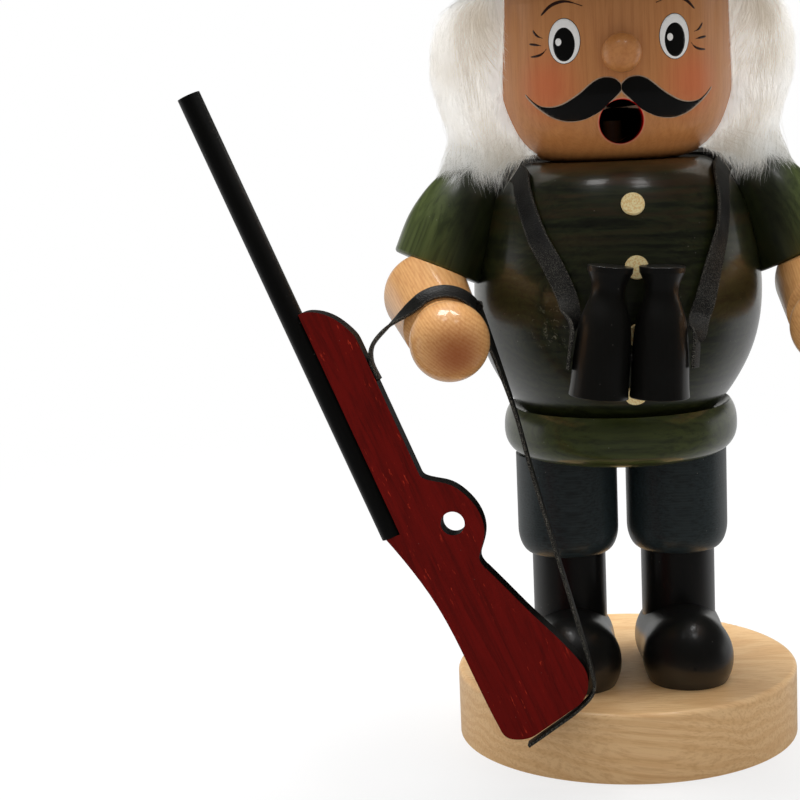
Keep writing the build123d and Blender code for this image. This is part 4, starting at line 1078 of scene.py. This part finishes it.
def strandTree(material):
    # Turns points that carry a root, a direction, a drift and a size into curved tapering hairs
    tree = bpy.data.node_groups.new("fallingHair", "GeometryNodeTree")
    tree.interface.new_socket("Roots", in_out="INPUT", socket_type="NodeSocketGeometry")
    for label, kind, value in (("Hair Radius", "Float", 0.0001), ("Hair Points", "Int", 6), ("Droop", "Float", 1.6)):
        tree.interface.new_socket(label, in_out="INPUT", socket_type="NodeSocket" + kind).default_value = value
    tree.interface.new_socket("Hair", in_out="OUTPUT", socket_type="NodeSocketGeometry")
    given = tree.nodes.new("NodeGroupInput").outputs
    line = addNode(tree, "GeometryNodeCurvePrimitiveLine", {"End": (0, 0, 0.001)}).outputs[0]
    line = addNode(tree, "GeometryNodeResampleCurve", {"Curve": line, "Count": given["Hair Points"]}).outputs[0]
    placed = addNode(tree, "GeometryNodeInstanceOnPoints", {"Points": given["Roots"], "Instance": line}).outputs[0]
    curves = addNode(tree, "GeometryNodeRealizeInstances", {0: placed}).outputs[0]

    def named(label, kind="FLOAT_VECTOR"):
        return addNode(tree, "GeometryNodeInputNamedAttribute", {"Name": label}, data_type=kind).outputs["Attribute"]

    share = addNode(tree, "GeometryNodeSplineParameter").outputs["Factor"]
    rest = maths(tree, "SUBTRACT", 1.0, share)
    rise = maths(tree, "SUBTRACT", 1.0, product(tree, rest, rest))
    square = product(tree, share, share)
    size = parted(tree, named("hairSize"))
    reach = maths(tree, "SUBTRACT", product(tree, size["X"], rise), product(tree, size["Y"], square))
    fall = product(tree, size["Z"], maths(tree, "POWER", share, given["Droop"]))

    def scaled(vector, amount):
        return addNode(tree, "ShaderNodeVectorMath", {0: vector, "Scale": amount}, operation="SCALE").outputs["Vector"]

    spot = vectorMaths(tree, "ADD", named("hairRoot"), scaled(named("hairOut"), reach))
    spot = vectorMaths(tree, "ADD", spot, scaled(named("hairDrift"), square))
    drop = addNode(tree, "ShaderNodeCombineXYZ", {2: product(tree, fall, -1.0)}).outputs[0]
    spot = vectorMaths(tree, "ADD", spot, drop)
    curves = addNode(tree, "GeometryNodeSetPosition", {"Geometry": curves, "Position": spot}).outputs[0]
    # thinner towards the tip, where a little is left
    taper = maths(tree, "POWER", maths(tree, "SUBTRACT", 1.03, share), 0.7)
    taper = product(tree, given["Hair Radius"], taper)
    curves = addNode(tree, "GeometryNodeSetCurveRadius", {"Curve": curves, "Radius": taper}).outputs[0]
    ring = addNode(tree, "GeometryNodeCurvePrimitiveCircle", {"Resolution": 3, "Radius": 1.0}).outputs[0]
    hair = addNode(tree, "GeometryNodeCurveToMesh", {"Curve": curves, "Profile Curve": ring, "Fill Caps": True})
    if "Scale" in hair.inputs:
        setInputs(tree, hair, {"Scale": addNode(tree, "GeometryNodeInputRadius").outputs[0]})
    hair = addNode(tree, "GeometryNodeRealizeInstances", {0: hair.outputs[0]}).outputs[0]
    hair = addNode(tree, "GeometryNodeSetMaterial", {"Geometry": hair, "Material": material}).outputs[0]
    tree.links.new(hair, tree.nodes.new("NodeGroupOutput").inputs["Hair"])
    return tree


def alongTable(rows, key):
    # Value between the rows of a table sorted by its first column
    if (rows[0][0] - rows[-1][0]) * (key - rows[0][0]) >= 0:
        return rows[0][1]
    for (one, before), (two, after) in zip(rows, rows[1:]):
        if (key - one) * (key - two) <= 0:
            return before + (after - before) * (key - one) / (two - one)
    return rows[-1][1]


def hairBorder(height):
    return alongTable(furLook["border"], height)


def within(value, low=0.0, high=1.0):
    return min(max(value, low), high)


def furSurface(turn, height):
    # Undercoat point and normal, its radius and the fur's outer radius there; the front edges are rolled in
    inward = min(turn, 360 - turn) - hairBorder(height)
    rolled = furLook["roll"] + furLook["rollMore"] * within((furLook["rollFrom"] - height) / furLook["rollDrop"])
    roll = math.acos(1 - within(inward / rolled))
    skin = dropOn(headSurface, turn, within(height, furLook["skinFoot"], furLook["skinTop"]), 0.2)[0]
    inner = Vector((skin.x, skin.y, 0)).length / mm
    lump = sum(share * noise.noise(Vector((math.radians(turn) * around, height * up, start)))
               for around, up, start, share in furLook["lumpWaves"])
    outer = inner + (alongTable(furLook["profile"], height) + lump * furLook["lumps"] - inner) * math.sin(roll)
    # the undercoat gets thin towards the strip's foot
    thick = furLook["undercoat"] * (0.12 + 0.88 * within((height - furLook["low"]) / 10) ** 0.8)
    reach = inner + (outer - inner) * thick
    out = onFace(turn, 0, 1.0)
    forward = Vector((-out.y, out.x, 0)) * (-1 if turn < 180 else 1)
    normal = (out * math.sin(roll) + forward * math.cos(roll)).normalized()
    return out * reach + Vector((0, 0, height)), normal, reach, outer


hairLook = {
    # share of tufts in the low band and its height, share beside the face and their reach, least fullness and more
    "lowShare": 0.3, "lowBand": 14.0, "faceShare": 0.45, "faceReach": 55, "fullness": (0.75, 0.45),
    # how far hairs stand from their tuft's middle, in degrees and in height
    "turnSpread": 3.2, "heightSpread": 2.6,
    # shorter beside the face, over this many degrees
    "shorter": 0.35, "shorterOver": 12.0,
    # how far fuller tufts and single hairs end from the foot line
    "footFull": 6, "footLoose": 2.0,
    # how close tips come together, below this height and above
    "gatherLow": 0.95, "gatherHigh": 0.6, "gatherHeight": 228,
    # how high hairs stand: share of the pile, more of it by chance, and millimetres by chance
    "lift": (0.35, 0.75, 0.9),
    # how tips follow the outer form, stand off it, sway with their tuft and waver, aside and up
    "follow": 0.85, "standOff": 0.5, "sway": 1.3, "waver": 0.7, "waverUp": 0.6,
    # strays: lowest root, band and turn past the border; each pair is the least and what chance adds
    "strayRoot": (213.5, 6), "strayTurn": 3, "strayAhead": (2, 11), "strayOut": (7, 6), "strayFall": (2, 13),
    "strayLift": 4,
    # tries to slide over the cloth, the most each adds and its share, air left over it, shortest fall kept
    "tries": 3, "slideMost": 5.0, "slide": 0.9, "air": 0.4, "airLoose": 0.8, "shortest": 1.0,
    # how deep roots sit, and what is made of the lift: outwards and tucked back in
    "rootDepth": 0.8, "liftOut": 1.3, "liftBack": 0.3,
}


def growTufts(chance):
    # Where each tuft stands, how it sways and how full it is
    low, high = furLook["low"], furLook["high"]
    tufts = []
    for _ in range(furLook["tufts"]):
        band = high - low if chance.random() > hairLook["lowShare"] else hairLook["lowBand"]
        height = low + band * chance.random()
        border = hairBorder(height)
        turn = border + (360 - 2 * border) * chance.random()
        if chance.random() < hairLook["faceShare"]:
            turn = border + hairLook["faceReach"] * chance.random()
            turn = 360 - turn if chance.random() < 0.5 else turn
        least, more = hairLook["fullness"]
        tufts.append((turn, height, chance.gauss(0, 1), least + more * chance.random()))
    return tufts


def growHair(chance, ground, strays):
    # What each hair needs: root, direction it stands, drift of its tip, and lift, tuck and fall
    def some(key):
        least, more = hairLook[key]
        return least + more * chance.random()

    low, high = furLook["low"], furLook["high"]
    short, long = furLook["length"]
    hairs, tufts = [], growTufts(chance)
    for count in range(furLook["strands"]):
        tuftTurn, tuftHeight, sway, full = tufts[int(chance.random() * len(tufts))]
        height = within(tuftHeight + chance.gauss(0, hairLook["heightSpread"]), low, high)
        border = hairBorder(height)
        turn = within(tuftTurn + chance.gauss(0, hairLook["turnSpread"]), border, 360 - border)
        root, normal, reach, outer = furSurface(turn, height)
        out = onFace(turn, 0, 1.0)
        aside = Vector((-out.y, out.x, 0))
        near = 1 - min((min(turn, 360 - turn) - border) / hairLook["shorterOver"], 1.0)
        fall = (short + (long - short) * chance.random() ** 1.5) * full * (1 - hairLook["shorter"] * near)
        foot = alongTable(furLook["foot"], min(turn, 360 - turn))
        fall = min(fall, height - foot - hairLook["footFull"] * (full - 1.0) + hairLook["footLoose"] * chance.random())
        gather = hairLook["gatherLow" if height < hairLook["gatherHeight"] else "gatherHigh"]
        gather *= math.radians(tuftTurn - turn) * reach
        share, more, loose = hairLook["lift"]
        lift = (outer - reach) * (share + more * chance.random()) + loose * chance.random()
        slope = furSurface(turn, height - fall)[3] - outer
        swing = gather + sway * hairLook["sway"] + chance.gauss(0, hairLook["waver"])
        drift = out * (slope * hairLook["follow"] + hairLook["standOff"]) + aside * swing
        drift.z += chance.gauss(0, hairLook["waverUp"])
        if strays and count < furLook["strays"]:
            # Loose hairs that stray forward over the strap
            side = 1 if count % 2 else -1
            height = some("strayRoot")
            turn = side * (hairBorder(height) + hairLook["strayTurn"] * chance.random()) % 360
            root, normal, reach, outer = furSurface(turn, height)
            out = onFace(turn, 0, 1.0)
            forward = Vector((-out.y, out.x, 0)) * -side
            drift = forward * some("strayAhead") + out * some("strayOut")
            fall, lift = some("strayFall"), hairLook["strayLift"] * chance.random()
        for attempt in range(hairLook["tries"]):
            # Hairs that meet the sleeve or the coat slide outwards over it
            tip = root + normal * lift + drift
            below = ground.ray_cast(Vector((tip.x, tip.y, height + 1.0)) * mm, Vector((0, 0, -1)))[0]
            if below is None:
                break
            room = height + drift.z - below.z / mm - hairLook["air"]
            if attempt < hairLook["tries"] - 1 and room < fall:
                drift += out * min(fall - room, hairLook["slideMost"]) * hairLook["slide"]
            elif room < fall:
                fall = room - hairLook["airLoose"] * chance.random()
        if fall < hairLook["shortest"]:
            continue
        size = (lift * hairLook["liftOut"], lift * hairLook["liftBack"], fall)
        hairs.append((root - normal * hairLook["rootDepth"], normal, drift, size))
    return hairs


def undercoatMesh(look):
    # A closed shell from the head to the undercoat, from one edge of the face round the back to the other
    shape = bmesh.new()
    around, levels = look["around"], look["levels"]
    heights = [look["high"] + (look["low"] - look["high"]) * k / levels for k in range(levels + 1)]
    rows = []
    for i in range(around + 1):
        share = 0.5 - 0.5 * math.cos(math.pi * i / around)
        places = [(hairBorder(height) + (360 - 2 * hairBorder(height)) * share, height) for height in heights]
        row = [furSurface(turn, height)[0] * mm for turn, height in places]
        row += [dropOn(headSurface, turn, min(height, look["skinTop"]), 0.1)[0] for turn, height in reversed(places)]
        rows.append([shape.verts.new(point) for point in row])
    count = len(rows[0])
    for one, two in zip(rows, rows[1:]):
        for k in range(count):
            n = (k + 1) % count
            shape.faces.new([one[k], one[n], two[n], two[k]])
    for row in (rows[0], rows[-1]):
        for k in range(levels):
            shape.faces.new([row[k], row[k + 1], row[count - 2 - k], row[count - 1 - k]])
    return meshFrom("furUndercoat", shape)


def makeFur(look):
    chance = random.Random(look["seed"])
    material = furFinish()
    ground = surfaceOf("coat_body", "right_sleeve", "left_sleeve")
    finishPiece("furUndercoat", undercoatMesh(look), material, "figure", ("hair_fur",))
    tree = strandTree(material)
    sockets = {item.name: item.identifier for item in tree.interface.items_tree if item.in_out == "INPUT"}
    for piece in range(look["pieces"]):
        hairs = growHair(chance, ground, piece == 0)
        points = bpy.data.meshes.new(f"furRoots{piece}")
        points.from_pydata([tuple(root * mm) for root, _, _, _ in hairs], [], [])
        for label, values in (("hairRoot", [h[0] * mm for h in hairs]), ("hairOut", [h[1] for h in hairs]),
                              ("hairDrift", [h[2] * mm for h in hairs]),
                              ("hairSize", [Vector(h[3]) * mm for h in hairs])):
            attribute = points.attributes.new(label, "FLOAT_VECTOR", "POINT")
            attribute.data.foreach_set("vector", [c for v in values for c in v])
        grower = bpy.data.objects.new(f"furRoots{piece}", points)
        bpy.context.scene.collection.objects.link(grower)
        modifier = grower.modifiers.new("fallingHair", "NODES")
        modifier.node_group = tree
        modifier[sockets["Hair Radius"]] = look["thickness"] * mm
        modifier[sockets["Hair Points"]] = look["points"]
        bpy.context.view_layer.update()
        graph = bpy.context.evaluated_depsgraph_get()
        grown = bpy.data.meshes.new_from_object(grower.evaluated_get(graph))
        bpy.data.objects.remove(grower)
        grown.name = f"furStrands{piece}"
        grown.materials.clear()
        finishPiece(f"furStrands{piece}", grown, material, "figure", ("hair_fur",))
        print("fur strands", piece, len(hairs), "hairs,", len(grown.polygons), "faces")


makeFur(furLook)
print("fur done")
